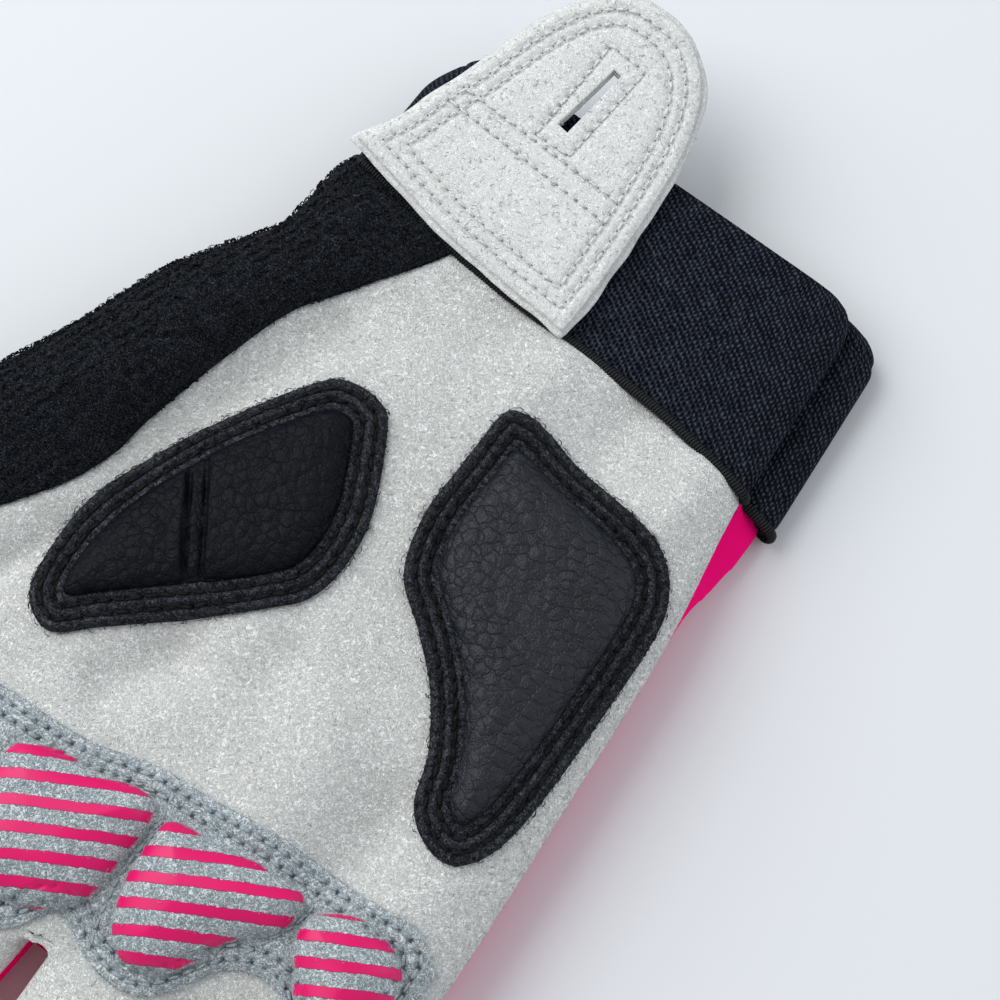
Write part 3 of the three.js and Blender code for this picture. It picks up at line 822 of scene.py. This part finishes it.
# the terry's seam allowance closes the slit between it and the palm
allowance = keepFaces(skin, [middleOf(f).z > seamZ
                             and abs(middleOf(f).x - frontEdge(middleOf(f))) < panels["allowance"]
                             for f in skin.faces])
allowance.normal_update()
for vert in allowance.verts:
    vert.co -= vert.normal * panels["allowanceSunk"]
thicken(addPiece(allowance, "front_seam_allowance", blackTerry), panels["allowanceThick"])
terry = keepFaces(skin, [k == "terry" for k in kinds])
moveBySeams(terry, 0.7, lambda away: 1 - bell(away, 1.2))  # the pile stands over the seams beside it
terryChance = random.Random(7)
terrySpots = spotsOn(terry, loops["perArea"], terryChance, lambda spot: spot.z > loops["lowest"])
fuzzSpots = spotsOn(terry, panels["terryFuzz"], terryChance, lambda spot: spot.z > 3)
thicken(addPiece(terry, "thumb_terry", blackTerry, ["thumb_panel"]), panels["terryThick"])
addPiece(buildLoops(terrySpots, terryChance), "terry_loops", blackTerry)
addPiece(napOf(fuzzSpots, terryChance, 0.2, 1.1, 1.1), "terry_fuzz", blackFibre)


def onSuede(p):  # the thumb's front is suede, the rest of it terry
    return p.z > seamZ + 0.5 and p.x > frontEdge(p) + 0.8


upperHems, underHems = [], []
for spot, direction, half in stallEnds[1:]:
    upperHems += hemStitches(spot, direction, lambda p: p.z > seamZ + 0.5)
    underHems += hemStitches(spot, direction, lambda p: 0.6 < p.z < seamZ - 0.5)
thumbEnd = stallEnds[0][:2]
upperHems += hemStitches(*thumbEnd, onSuede)
thumbHem = hemStitches(*thumbEnd, lambda p: 0.6 < p.z and (p.z < seamZ or p.x < frontEdge(p) - 0.8))
addPiece(stitchesAt(upperHems), "palm_hem_stitches", paleThread)
addPiece(stitchesAt(underHems), "back_hem_stitches", magentaThread)
addPiece(stitchesAt(thumbHem), "thumb_hem_stitches", blackThread)
print("panels cut, terry loops:", len(terrySpots), "palm fibres:", len(palmSpots))

# Elastic cuff
cuff = {
    "end": 54.5, "tall": 30, "lean": 2.6, "thickness": 1.5, "corner": 4.4, "cornerRadius": 5.0,
    "tabSide": 1.2, "hem": 2.8, "clothTall": 0.0303,
    "seamHeight": 0.6, "seamThread": 0.25, "seamPitch": 0.46, "seamShift": 0.4,
    "profile": [
        (-50.5, 6.2), (-48.6, 10.6), (-43, 12.3), (-20, 12.6), (4, 12.6), (20, 12.4), (26, 11.5), (27.8, 9.5),
        (26.8, 7.4), (30, 6.7), (33, 5.2), (33.7, 2.8), (32, 0.5), (26, 0), (2, 0), (-24, 0), (-43, 0),
        (-48.6, 1.9)],
}


def buildCuff():
    ring = curvePoints(cuff["profile"], 320, closed=True)
    ring.append(ring[0])
    girth = reachOf(ring)[-1]

    def place(u, v):
        spot = ring[round(u * 320)]
        bend = max(0.0, cuff["tall"] * (v - 1) + cuff["cornerRadius"])
        cut = cuff["cornerRadius"] - math.sqrt(max(0.0, cuff["cornerRadius"] ** 2 - bend ** 2))
        lean = cuff["lean"] * v * ease(5, 30, spot.x) + 0.8 * cut * ease(16, 33, spot.x)
        fromEnd = (1 - v) * cuff["tall"]
        edge = bell(v * cuff["tall"], 1.2) + bell(fromEnd, 1.0) + 0.6 * bell(fromEnd - cuff["hem"], 0.5)
        start = wristEdge((spot.x, 0, 0)) + 0.2
        middle = Vector((mix(-40, 26, clamp((spot.x + 40) / 66)), 6))
        inward = (middle - spot).normalized() * 0.5 * edge
        y = mix(start, cuff["end"], v)
        rounded = cuff["corner"] * ease(45, 58, y) + cuff["tabSide"] * ease(30, 39, y)
        rounded *= ease(-30, -50, spot.x)
        return (spot.x - lean + rounded + inward.x, y, max(0.0, spot.y + inward.y))

    bm = gridPiece(320, 72, place, closed=True)
    layer = bm.loops.layers.uv["cloth"]
    for face in bm.faces:
        for corner in face.loops:
            u, v = corner[layer].uv
            corner[layer].uv = (u * girth / 1000, v * cuff["clothTall"])
    bmesh.ops.recalc_face_normals(bm, faces=bm.faces)
    return bm


def buildOverlock():  # the sewn edge round the cuff: a low rib wound with slanted threads
    count = round(reachOf(curvePoints(cuff["profile"], 400, closed=True))[-1] / cuff["seamPitch"])
    ring = curvePoints(cuff["profile"], count, closed=True)
    chance = random.Random(5)
    blank = bentThread(cuff["seamHeight"], cuff["seamThread"], 3.3, 6, 4)
    places = []
    for i in range(count):
        step = (ring[(i + 1) % count] - ring[i - 1]).normalized()
        out = Vector((-step.y, 0, step.x))
        if out.dot(Vector((ring[i].x + 12, 0, ring[i].y - 6))) < 0:
            out = -out
        run = Vector((step.x, 0, step.y))
        across = (Vector((0, 1, 0)) + run * chance.uniform(0.22, 0.3)).normalized()
        turn = Matrix((across, out.cross(across), out)).transposed().to_4x4()
        seamY = wristEdge((ring[i].x, 0, 0)) + cuff["seamShift"]
        spot = Vector((ring[i].x, seamY, max(0.7, ring[i].y - 0.25))) - out * 0.15
        size = chance.uniform(0.96, 1.04)
        places.append(Matrix.Translation(spot) @ turn @ Matrix.Diagonal((1.1 * size, 1, size, 1)))
    return copiesOf([blank], places)


thicken(addPiece(buildCuff(), "elastic_cuff", blackElastic, ["cuff_band"]), cuff["thickness"])
addPiece(buildOverlock(), "cuff_overlock", blackThread)
print("cuff made")


# Stitches
def stitchRow(bm, path, height, pitch, length, thickness, uneven=0.06):  # sews a row, gives its needle holes
    reach = reachOf(path)
    total = reach[-1]
    count = max(1, round(total / pitch))
    chance = random.Random(count)
    spots = []

    def at(distance):
        k = clamp(bisect_right(reach, distance) - 1, 0, len(reach) - 2)
        share = clamp((distance - reach[k]) / max(1e-9, reach[k + 1] - reach[k]))
        return path[k].lerp(path[k + 1], share)

    for n in range(count):
        middle = (n + 0.5) * total / count
        a, b = at(max(0, middle - length / 2)), at(min(total, middle + length / 2))
        side = Vector((a.y - b.y, b.x - a.x)) * uneven * chance.uniform(-1, 1)
        a, b = a - side, b + side
        a3, b3 = Vector((a.x, a.y, height(a.x, a.y))), Vector((b.x, b.y, height(b.x, b.y)))
        c = at(middle)
        c3 = Vector((c.x, c.y, height(c.x, c.y) + thickness * 0.25))
        run = b3 - a3
        turn = run.to_track_quat("Z", "Y").to_matrix().to_4x4()
        size = thickness * (1 + uneven * chance.uniform(-2, 2))
        matrix = Matrix.Translation(c3) @ turn @ Matrix.Diagonal((size, size, run.length / 2, 1))
        bmesh.ops.create_uvsphere(bm, u_segments=6, v_segments=5, radius=1, matrix=matrix)
        spots.append(at(n * total / count))
    return spots


# Pull tab
tab = {
    "outline": [
        (-50.2, 31.2), (-46.8, 37.3), (-44.7, 44.6), (-42.4, 51.4), (-40.3, 58.5), (-37.9, 64), (-34.6, 69),
        (-30, 72.3), (-25, 73), (-20, 72.2), (-15.8, 69.8), (-12.6, 66), (-10.6, 61.3), (-9.4, 56),
        (-8.4, 47.2), (-7.8, 39), (-7.4, 30.8), (-7.6, 25.0), (-15.1, 25.6), (-22.7, 26.2), (-30.8, 27.1),
        (-39.6, 28.9)],
    "corners": (0, 17), "layer": 1.2, "gap": 0.1, "base": 13.0, "rise": 4.0, "riseStart": 44.0,
    "middle": (-25.0, 49.0), "stitch": (1.9, 1.4, 0.2), "stitchSunk": 0.2, "hole": 0.19, "under": 0.8,
    "fibres": 1.3, "underFibres": 0.15, "fibreSize": 0.7,
    "rowInsets": (2.3, 4.5), "slit": [(-26.3, 50.2), (-24.7, 61.8)], "slitHalf": (1.05, 0.75),
    "crossRows": [[(-42.6, 43.9), (-12.2, 42.0)], [(-42.0, 46.8), (-12.6, 45.7)]],
    "frameRow": [(-29.0, 47.2), (-28.0, 64.6), (-21.4, 64.2), (-22.9, 47.3), (-29.0, 47.2)],
}


def tabBase(y):
    return tab["base"] + tab["rise"] * max(0.0, (y - tab["riseStart"]) / (73 - tab["riseStart"])) ** 2


def tabTop(y):
    return tabBase(y) + 2 * tab["layer"] + tab["gap"]


def tabOutline(grow, count=300):
    points = tab["outline"]
    first, last = tab["corners"]
    side = curvePoints(points[first:last + 1], int(count * 0.78))
    base = curvePoints(points[last:] + points[:1], count - int(count * 0.78) + 1)
    return movedIn(side + base[1:-1], -grow)


def buildTab():
    outline = tabOutline(0)
    count = len(outline)
    rows = [sewingRow(outline, inset, 300) for inset in tab["rowInsets"]]
    crosses = [[Vector(a).lerp(Vector(b), k / 60) for k in range(61)] for a, b in tab["crossRows"]]
    box = []
    for a, b in zip(tab["frameRow"], tab["frameRow"][1:]):
        box += [Vector(a).lerp(Vector(b), k / 24) for k in range(24)]
    box.append(Vector(tab["frameRow"][-1]))
    rows += crosses + [box]
    grooves = treeOf([p for row in rows for p in row])
    threads = bmesh.new()
    holes = []

    for row in rows:
        holes += stitchRow(threads, row, lambda x, y: tabTop(y) - tab["stitchSunk"], *tab["stitch"])
    holeTree = treeOf(holes)
    # A small flattened dark disc at each needle hole: painted shade of the hole's pit.
    shadeDiscs = bmesh.new()
    for hole in holes:
        pit = Matrix.Translation((hole.x, hole.y, tabTop(hole.y) - tab["stitchSunk"] + 0.02))
        bmesh.ops.create_icosphere(shadeDiscs, subdivisions=1, radius=tab["hole"],
                                   matrix=pit @ Matrix.Diagonal((1, 1, 0.7, 1)))
    rim = treeOf(outline)
    a, b = [Vector(p) for p in tab["slit"]]
    centre = Vector(tab["middle"])

    def place(u, v):
        edge = outline[round(u * count) % count]
        spot = centre.lerp(edge, v)
        fromRim = nearest(rim, spot.x, spot.y)
        top = tabTop(spot.y)
        top -= (0.3 * bell(nearest(grooves, spot.x, spot.y), 0.8)
                + 0.3 * bell(nearest(holeTree, spot.x, spot.y), 0.35))
        top -= 0.5 * bell(fromRim, 0.7) + 0.18 * ease(7, 4.5, fromRim)
        top += 0.12 * noise.noise(Vector((spot.x, spot.y, 0)) / 3.0)
        return (spot.x, spot.y, top)

    face = gridPiece(count, 64, place, closed=True)
    openSlit(face, a, b)
    faceUp(face)
    under = tabOutline(tab["under"])

    def placeUnder(u, v):
        spot = centre.lerp(under[round(u * count) % count], v)
        wave = 0.3 * noise.noise(Vector((spot.x, spot.y, 9)) / 5.0)
        height = tabBase(spot.y) + tab["layer"] - 0.3 * bell((1 - v) * 20, 0.6)
        return (spot.x + wave * v, spot.y + wave * v, height)

    lower = gridPiece(count, 40, placeUnder, closed=True)
    openSlit(lower, a, b)
    faceUp(lower)
    return face, lower, threads, shadeDiscs


def openSlit(bm, a, b):  # removes the strip of cloth along the slit after cutting its sides
    step = (b - a).normalized()
    side = Vector((-step.y, step.x))
    nearHalf, farHalf = tab["slitHalf"]
    cuts = [(a, -step), (b, step)]
    for turn in (1, -1):
        line = (b + side * farHalf * turn - a - side * nearHalf * turn).normalized()
        cuts.append((a + side * nearHalf * turn, Vector((-line.y, line.x)) * turn))
    for spot, normal in cuts:
        middle = (a + b) / 2
        faces = [f for f in bm.faces if (middleOf(f).xy - middle).length < 9]
        cutPlane(bm, faces, (spot.x, spot.y, 0), (normal.x, normal.y, 0), dist=1e-4)
    strip = [f for f in bm.faces if all((middleOf(f).xy - spot).dot(normal) < 0 for spot, normal in cuts)]
    bmesh.ops.delete(bm, geom=strip, context="FACES")


face, lower, threads, shadeDiscs = buildTab()
napChance = random.Random(11)
tabSpots = spotsOn(face, tab["fibres"], napChance) + spotsOn(lower, tab["underFibres"], napChance)
thicken(addPiece(face, "tab_face", tabSuede, ["pull_tab_face"]), tab["layer"] - tab["gap"])
thicken(addPiece(lower, "tab_backing", tabSuede, ["pull_tab_backing"]), tab["layer"] - tab["gap"])
addPiece(threads, "tab_stitches", paleThread)
addPiece(shadeDiscs, "tab_needle_hole_shade", holeShade)
addPiece(napOf(tabSpots, napChance, size=tab["fibreSize"]), "tab_nap", looseFibre)
print("pull tab made")

# Leather pads
pads = {
    "heel": [
        (-6.7, 9.2), (-4.2, 11.4), (0, 11.5), (6.5, 10.2), (18.1, 8.8), (23.8, 6.9), (27.6, 3), (29.6, -3.3),
        (30.4, -17.5), (30.7, -31), (29.8, -40), (26.6, -45.4), (21.8, -45.6), (17, -42.2), (14.4, -35.5),
        (9.2, -28.3), (3, -22.8), (-3.6, -17.6), (-6.6, -9), (-6.9, 0)],
    "thenar": [
        (-18.4, -2.1), (-21.9, 0.5), (-27.1, 0.3), (-31, -2.6), (-38, -13.6), (-42.2, -22.3), (-45, -31),
        (-46.4, -41), (-44.6, -50.5), (-38.6, -53.6), (-33, -49), (-27.4, -44), (-20.5, -37.8),
        (-15.3, -32.6), (-11.7, -28), (-10.7, -21.6), (-12.3, -13.4)],
    "border": 4.6, "rows": (1.7, 3.5), "stitch": (2.2, 1.9, 0.34, 0.12), "stitchSunk": 0.3, "lift": 0.35,
    "edge": 1.1, "crown": 3.9, "foot": 0.9, "slope": 5.5, "thick": 0.5, "fibres": 3.2,
    "channel": [(-38.5, -20.0), (-34.6, -24.6), (-30.5, -30.1), (-26.6, -35.6), (-23.4, -40.5)],
}


def matched(outline, row):  # the row's points put in the outline's order, each near its own point
    turned = row if areaOf(row) * areaOf(outline) > 0 else row[::-1]
    count = len(turned)
    best = min(range(count), key=lambda k: sum((turned[(k + i) % count] - outline[i]).length_squared
                                               for i in range(0, count, 12)))
    return turned[best:] + turned[:best]


def buildPad(points, threads, channel=None):
    outline = curvePoints(points, 360, closed=True)
    inner = matched(outline, insetRow(outline, pads["border"], 360, 24))
    rim = treeOf(outline)
    holes = []

    def borderTop(distance, x, y):
        rise = pads["edge"] * ease(-0.3, 0.9, distance) + 0.35 * bell(distance - 2.6, 0.55)
        return skinAt(x, y) + pads["lift"] + rise

    sewn = []
    for inset in pads["rows"]:
        row = sewingRow(outline, inset, 300)
        sewn += row
        holes += stitchRow(threads, row, lambda x, y: borderTop(inset, x, y) - pads["stitchSunk"],
                           *pads["stitch"])
    holeTree = treeOf(holes)
    groove = treeOf(sewn)

    def placeBorder(u, v):
        i = round(u * 360) % 360
        spot = outline[i].lerp(inner[i], 1.06 * v)
        distance = nearest(rim, spot.x, spot.y)
        top = borderTop(distance, spot.x, spot.y)
        top -= 0.5 * bell(nearest(groove, spot.x, spot.y), 0.45)
        top -= 0.4 * bell(nearest(holeTree, spot.x, spot.y), 0.42)
        return (spot.x, spot.y, top)

    border = gridPiece(360, 16, placeBorder, closed=True)
    faceUp(border)
    middle = sum(inner, Vector((0, 0))) / len(inner)
    edge = treeOf(inner)
    line = curvePoints(channel, 120) if channel else None
    seam = treeOf(line) if line else None

    def placeCushion(u, v):
        spot = middle.lerp(inner[round(u * 360) % 360], 1 - abs(2 * v - 1))
        distance = nearest(edge, spot.x, spot.y)
        if v < 0.5:
            return (spot.x, spot.y, skinAt(spot.x, spot.y) + 0.3)
        dome = math.sqrt(max(0.0, 1 - (1 - clamp(distance / pads["slope"])) ** 2.2))
        top = skinAt(spot.x, spot.y) + pads["foot"] + (pads["crown"] - pads["foot"]) * dome
        if seam:
            away = nearest(seam, spot.x, spot.y)
            top -= (0.9 * ease(2.0, 1.15, away) + 0.6 * bell(away - 1.2, 0.4)) * dome
        top += 0.22 * noise.noise(Vector((spot.x, spot.y, 5)) / 4.0) * dome
        return (spot.x, spot.y, top)

    cushion = gridPiece(360, 96, placeCushion, closed=True)
    bmesh.ops.recalc_face_normals(cushion, faces=cushion.faces)
    return border, cushion


edgeChance = random.Random(17)
blackThreads = bmesh.new()
edgeSpots = []
for name, leather, channel, cushions in [
        ("heel", padLeather, None, ["heel_cushion"]),
        ("thenar", shadedThumbLeather, pads["channel"], ["thenar_cushion_large", "thenar_cushion_small"])]:
    border, cushion = buildPad(pads[name], blackThreads, channel)
    edgeSpots += spotsOn(border, pads["fibres"], edgeChance)
    borderPiece = addPiece(border, name + "_border", padSuede, [name + "_pad_border"])
    thicken(borderPiece, pads["thick"], even=False)
    addPiece(cushion, name + "_pad", leather, cushions)
addPiece(blackThreads, "pad_stitches", shadedBlackThread)
addPiece(napOf(edgeSpots, edgeChance, 0.3, 1.4, 1.1), "pad_edge_nap", blackFibre)
print("pads made")


# Knuckle patch
patch = {
    "edges": table("x upper lower", [
        (-53, -66, -80), (-47, -63.5, -88), (-41, -63.4, -89), (-35, -63, -82), (-29, -62.6, -89),
        (-23, -61.8, -90.5), (-17, -59.9, -88.5), (-12.5, -58.8, -82.5), (-7, -58.3, -84.5),
        (-2, -57.6, -85.5), (3, -56.9, -84.6),
        (6.4, -56.5, -81), (9.6, -56.3, -75.6), (14.3, -56.2, -72.9), (18.6, -56.1, -73.6), (23, -55.6, -78),
        (28, -55.2, -80.5), (33.2, -58.5, -75)]),
    "domes": {
        "index": [(-52, -72), (-46, -67.5), (-38, -69), (-36.5, -77), (-42, -84), (-50, -81)],
        "middle": [(-31, -67.5), (-20, -64.4), (-12.8, -62.7), (-9.9, -64.8), (-9.6, -70), (-10.4, -79),
                   (-16, -84.5), (-25, -86), (-31, -80)],
        "ring": [(-7.5, -63.5), (-8.4, -67.4), (-7.9, -73.5), (-5.8, -79.0), (-3.2, -81.7), (0.3, -82.4),
                 (4.1, -80.4), (6.5, -76.3), (9.1, -71), (13.1, -66.9), (13.9, -63), (12.5, -60.6),
                 (6.0, -61), (-0.3, -62.3)],
        "little": [(15.4, -61.8), (15.2, -65.6), (17.6, -69.2), (21.5, -74), (26.5, -76.2), (30.2, -73),
                   (31, -66), (29.8, -61), (25.8, -58.8), (20.5, -58.6)],
    },
    "pull": {"index": 2.4, "middle": 2.4, "ring": -2.4, "little": 0.0},
    "domeRise": 4.6, "domeSlope": 9.0,
    "lift": 0.35, "thick": 1.0, "bridge": 12.2, "rowInsets": (1.5, 3.3), "stitch": (2.0, 1.6, 0.28, 0.12),
    "stitchSunk": 0.3, "fibres": 2.9, "fibreSize": 0.6,
    "channels": [[(-9.9, -60.5), (-8.7, -66), (-8.9, -73), (-7.4, -80), (-6.2, -83)],
                 [(14.6, -58.6), (14.4, -63.5), (12.4, -68.6), (10.9, -71.8)]],
}


def domeMaps():  # each dome's outline, a tree of its rim, and how far its stripes are pulled
    maps = []
    for name, points in patch["domes"].items():
        outline = curvePoints(points, 160, closed=True)
        maps.append((outline, treeOf(outline), patch["pull"][name]))
    return maps


def inside(outline, x, y):
    odd = False
    for a, b in zip(outline, outline[1:] + outline[:1]):
        if (a.y > y) != (b.y > y) and x < a.x + (y - a.y) / (b.y - a.y) * (b.x - a.x):
            odd = not odd
    return odd


def domeAt(maps, x, y):  # distance in from the rim of the dome there, negative outside, and its pull
    best = (-9.0, 0.0)
    for outline, rim, pull in maps:
        away = nearest(rim, x, y)
        best = max(best, (away if away < 12 and inside(outline, x, y) else -away, pull))
    return best


def buildPatch():
    edges = patch["edges"]
    first, last = edges[0]["x"], edges[-1]["x"]
    across = [mix(first, last, k / 150) for k in range(151)]
    upper = [(x, along(edges, "x", "upper", x)) for x in across]
    lower = [(x, along(edges, "x", "lower", x)) for x in across]
    outline = curvePoints(upper[::4] + lower[::-4], 500, closed=True)
    rim = treeOf(outline)
    domes = domeMaps()
    threads = bmesh.new()

    def baseTop(x, y):  # the cloth bridges the gaps between the fingers
        bridge = patch["bridge"] * ease(-51, -46, x) * ease(31, 26, x)
        return max(skinAt(x, y), bridge) + patch["lift"] + patch["thick"]

    rows = [sewingRow(outline, inset, 400) for inset in patch["rowInsets"]]
    rows += [curvePoints(line, 60) for line in patch["channels"]]
    holes = []
    for i, row in enumerate(rows):
        found = stitchRow(threads, row, lambda x, y: baseTop(x, y) - patch["stitchSunk"], *patch["stitch"])
        holes += found if i < len(patch["rowInsets"]) else []
    holeTree = treeOf(holes)
    groove = treeOf([p for row in rows for p in row])

    def place(u, v):
        x = mix(first, last, u)
        y = mix(along(edges, "x", "lower", x), along(edges, "x", "upper", x), v)
        deep = domeAt(domes, x, y)[0]
        top = baseTop(x, y)
        if deep > 0:
            top += patch["domeRise"] * math.sqrt(1 - (1 - clamp(deep / patch["domeSlope"])) ** 2)
        top -= 0.4 * bell(deep, 0.8)
        top -= 0.25 * bell(nearest(groove, x, y), 0.5)
        top -= 0.6 * bell(nearest(rim, x, y), 0.6)
        top -= 0.5 * bell(nearest(holeTree, x, y), 0.4)
        return (x, y, top)

    bm = gridPiece(230, 84, place)
    dome, pulled, hole = [bm.verts.layers.float.new(name) for name in ("dome", "pulled", "hole")]
    for vert in bm.verts:
        vert[dome], vert[pulled] = domeAt(domes, vert.co.x, vert.co.y)
        # The hole attribute is painted shade in the needle holes, darker or lighter by noise.
        mottle = clamp(0.62 + 0.9 * noise.noise(vert.co / 2.2))
        vert[hole] = mottle * bell(nearest(holeTree, vert.co.x, vert.co.y), 0.42)
    faceUp(bm)
    return bm, threads


patchCloth, patchThreads = buildPatch()
patchChance = random.Random(23)
bareMaps = domeMaps()


def offStripes(spot):  # true where no print lies, near enough
    deep, pull = domeAt(bareMaps, spot.x, spot.y)
    phase = (spot.x * stripes["across"][0] + spot.y * stripes["across"][1]) / 1000 + pull + 0.9
    return deep < 0.5 or math.cos(phase) < 0.1


patchSpots = spotsOn(patchCloth, patch["fibres"], patchChance, offStripes)
patchPiece = addPiece(patchCloth, "patch_suede", printedSuede, ["knuckle_patch"])
thicken(patchPiece, patch["thick"], even=False)
addPiece(patchThreads, "patch_stitches", blueThread)
addPiece(napOf(patchSpots, patchChance, size=patch["fibreSize"]), "patch_nap", blueFibre)
print("patch made")


# Table, light and camera
studio = {
    "table": "#e5e9ed", "sky": "#f3f5f8", "skyStrength": 0.5, "target": (0, 0, 0.012),
    "camera": {"azimuth": 37, "elevation": 75, "distance": 0.3175}, "lens": 80,
    "lights": table("name size power colour azimuth elevation distance", [
        ("window", 1.3, 13.3, "#ffffff", 270, 44, 1.2), ("fill", 1.4, 4.6, "#f4f7ff", 130, 26, 1.4)]),
}


def aimed(name, data, target, azimuth, elevation, distance):  # a lamp or a camera looking at the target
    holder = bpy.data.objects.new(name, data)
    bpy.context.collection.objects.link(holder)
    a, e = math.radians(azimuth), math.radians(elevation)
    back = Vector((math.sin(a) * math.cos(e), -math.cos(a) * math.cos(e), math.sin(e)))
    holder.location = target + back * distance
    holder.rotation_mode = "QUATERNION"
    holder.rotation_quaternion = (-back).to_track_quat("-Z", "Y")
    return holder


def addTable():
    bm = bmesh.new()
    bmesh.ops.create_grid(bm, x_segments=2, y_segments=2, size=3)
    board = objectOf(bm, "table")
    material, tree, shader = newMaterial("painted board, pale", 0.75)
    shader.inputs["Base Color"].default_value = linear(studio["table"])
    board.data.materials.append(material)


def addLight(form):
    light = bpy.data.lights.new(form["name"], "AREA")
    light.shape = "DISK"
    light.size = form["size"]
    light.energy = form["power"]
    light.color = linear(form["colour"])[:3]
    aimed(form["name"], light, Vector((0, 0, 0)), form["azimuth"], form["elevation"], form["distance"])


world = bpy.data.worlds.new("studio")
world.use_nodes = True
world.node_tree.nodes["Background"].inputs["Color"].default_value = linear(studio["sky"])
world.node_tree.nodes["Background"].inputs["Strength"].default_value = studio["skyStrength"]
bpy.context.scene.world = world
bpy.context.scene.view_settings.view_transform = "Standard"
addTable()
for form in studio["lights"]:
    addLight(form)
lensData = bpy.data.cameras.new("camera")
lensData.lens = studio["lens"]
lensData.clip_start = 0.01
target = layoutOrigin + Vector(studio["target"])
bpy.context.scene.camera = aimed("camera", lensData, target, **studio["camera"])
print("studio set")
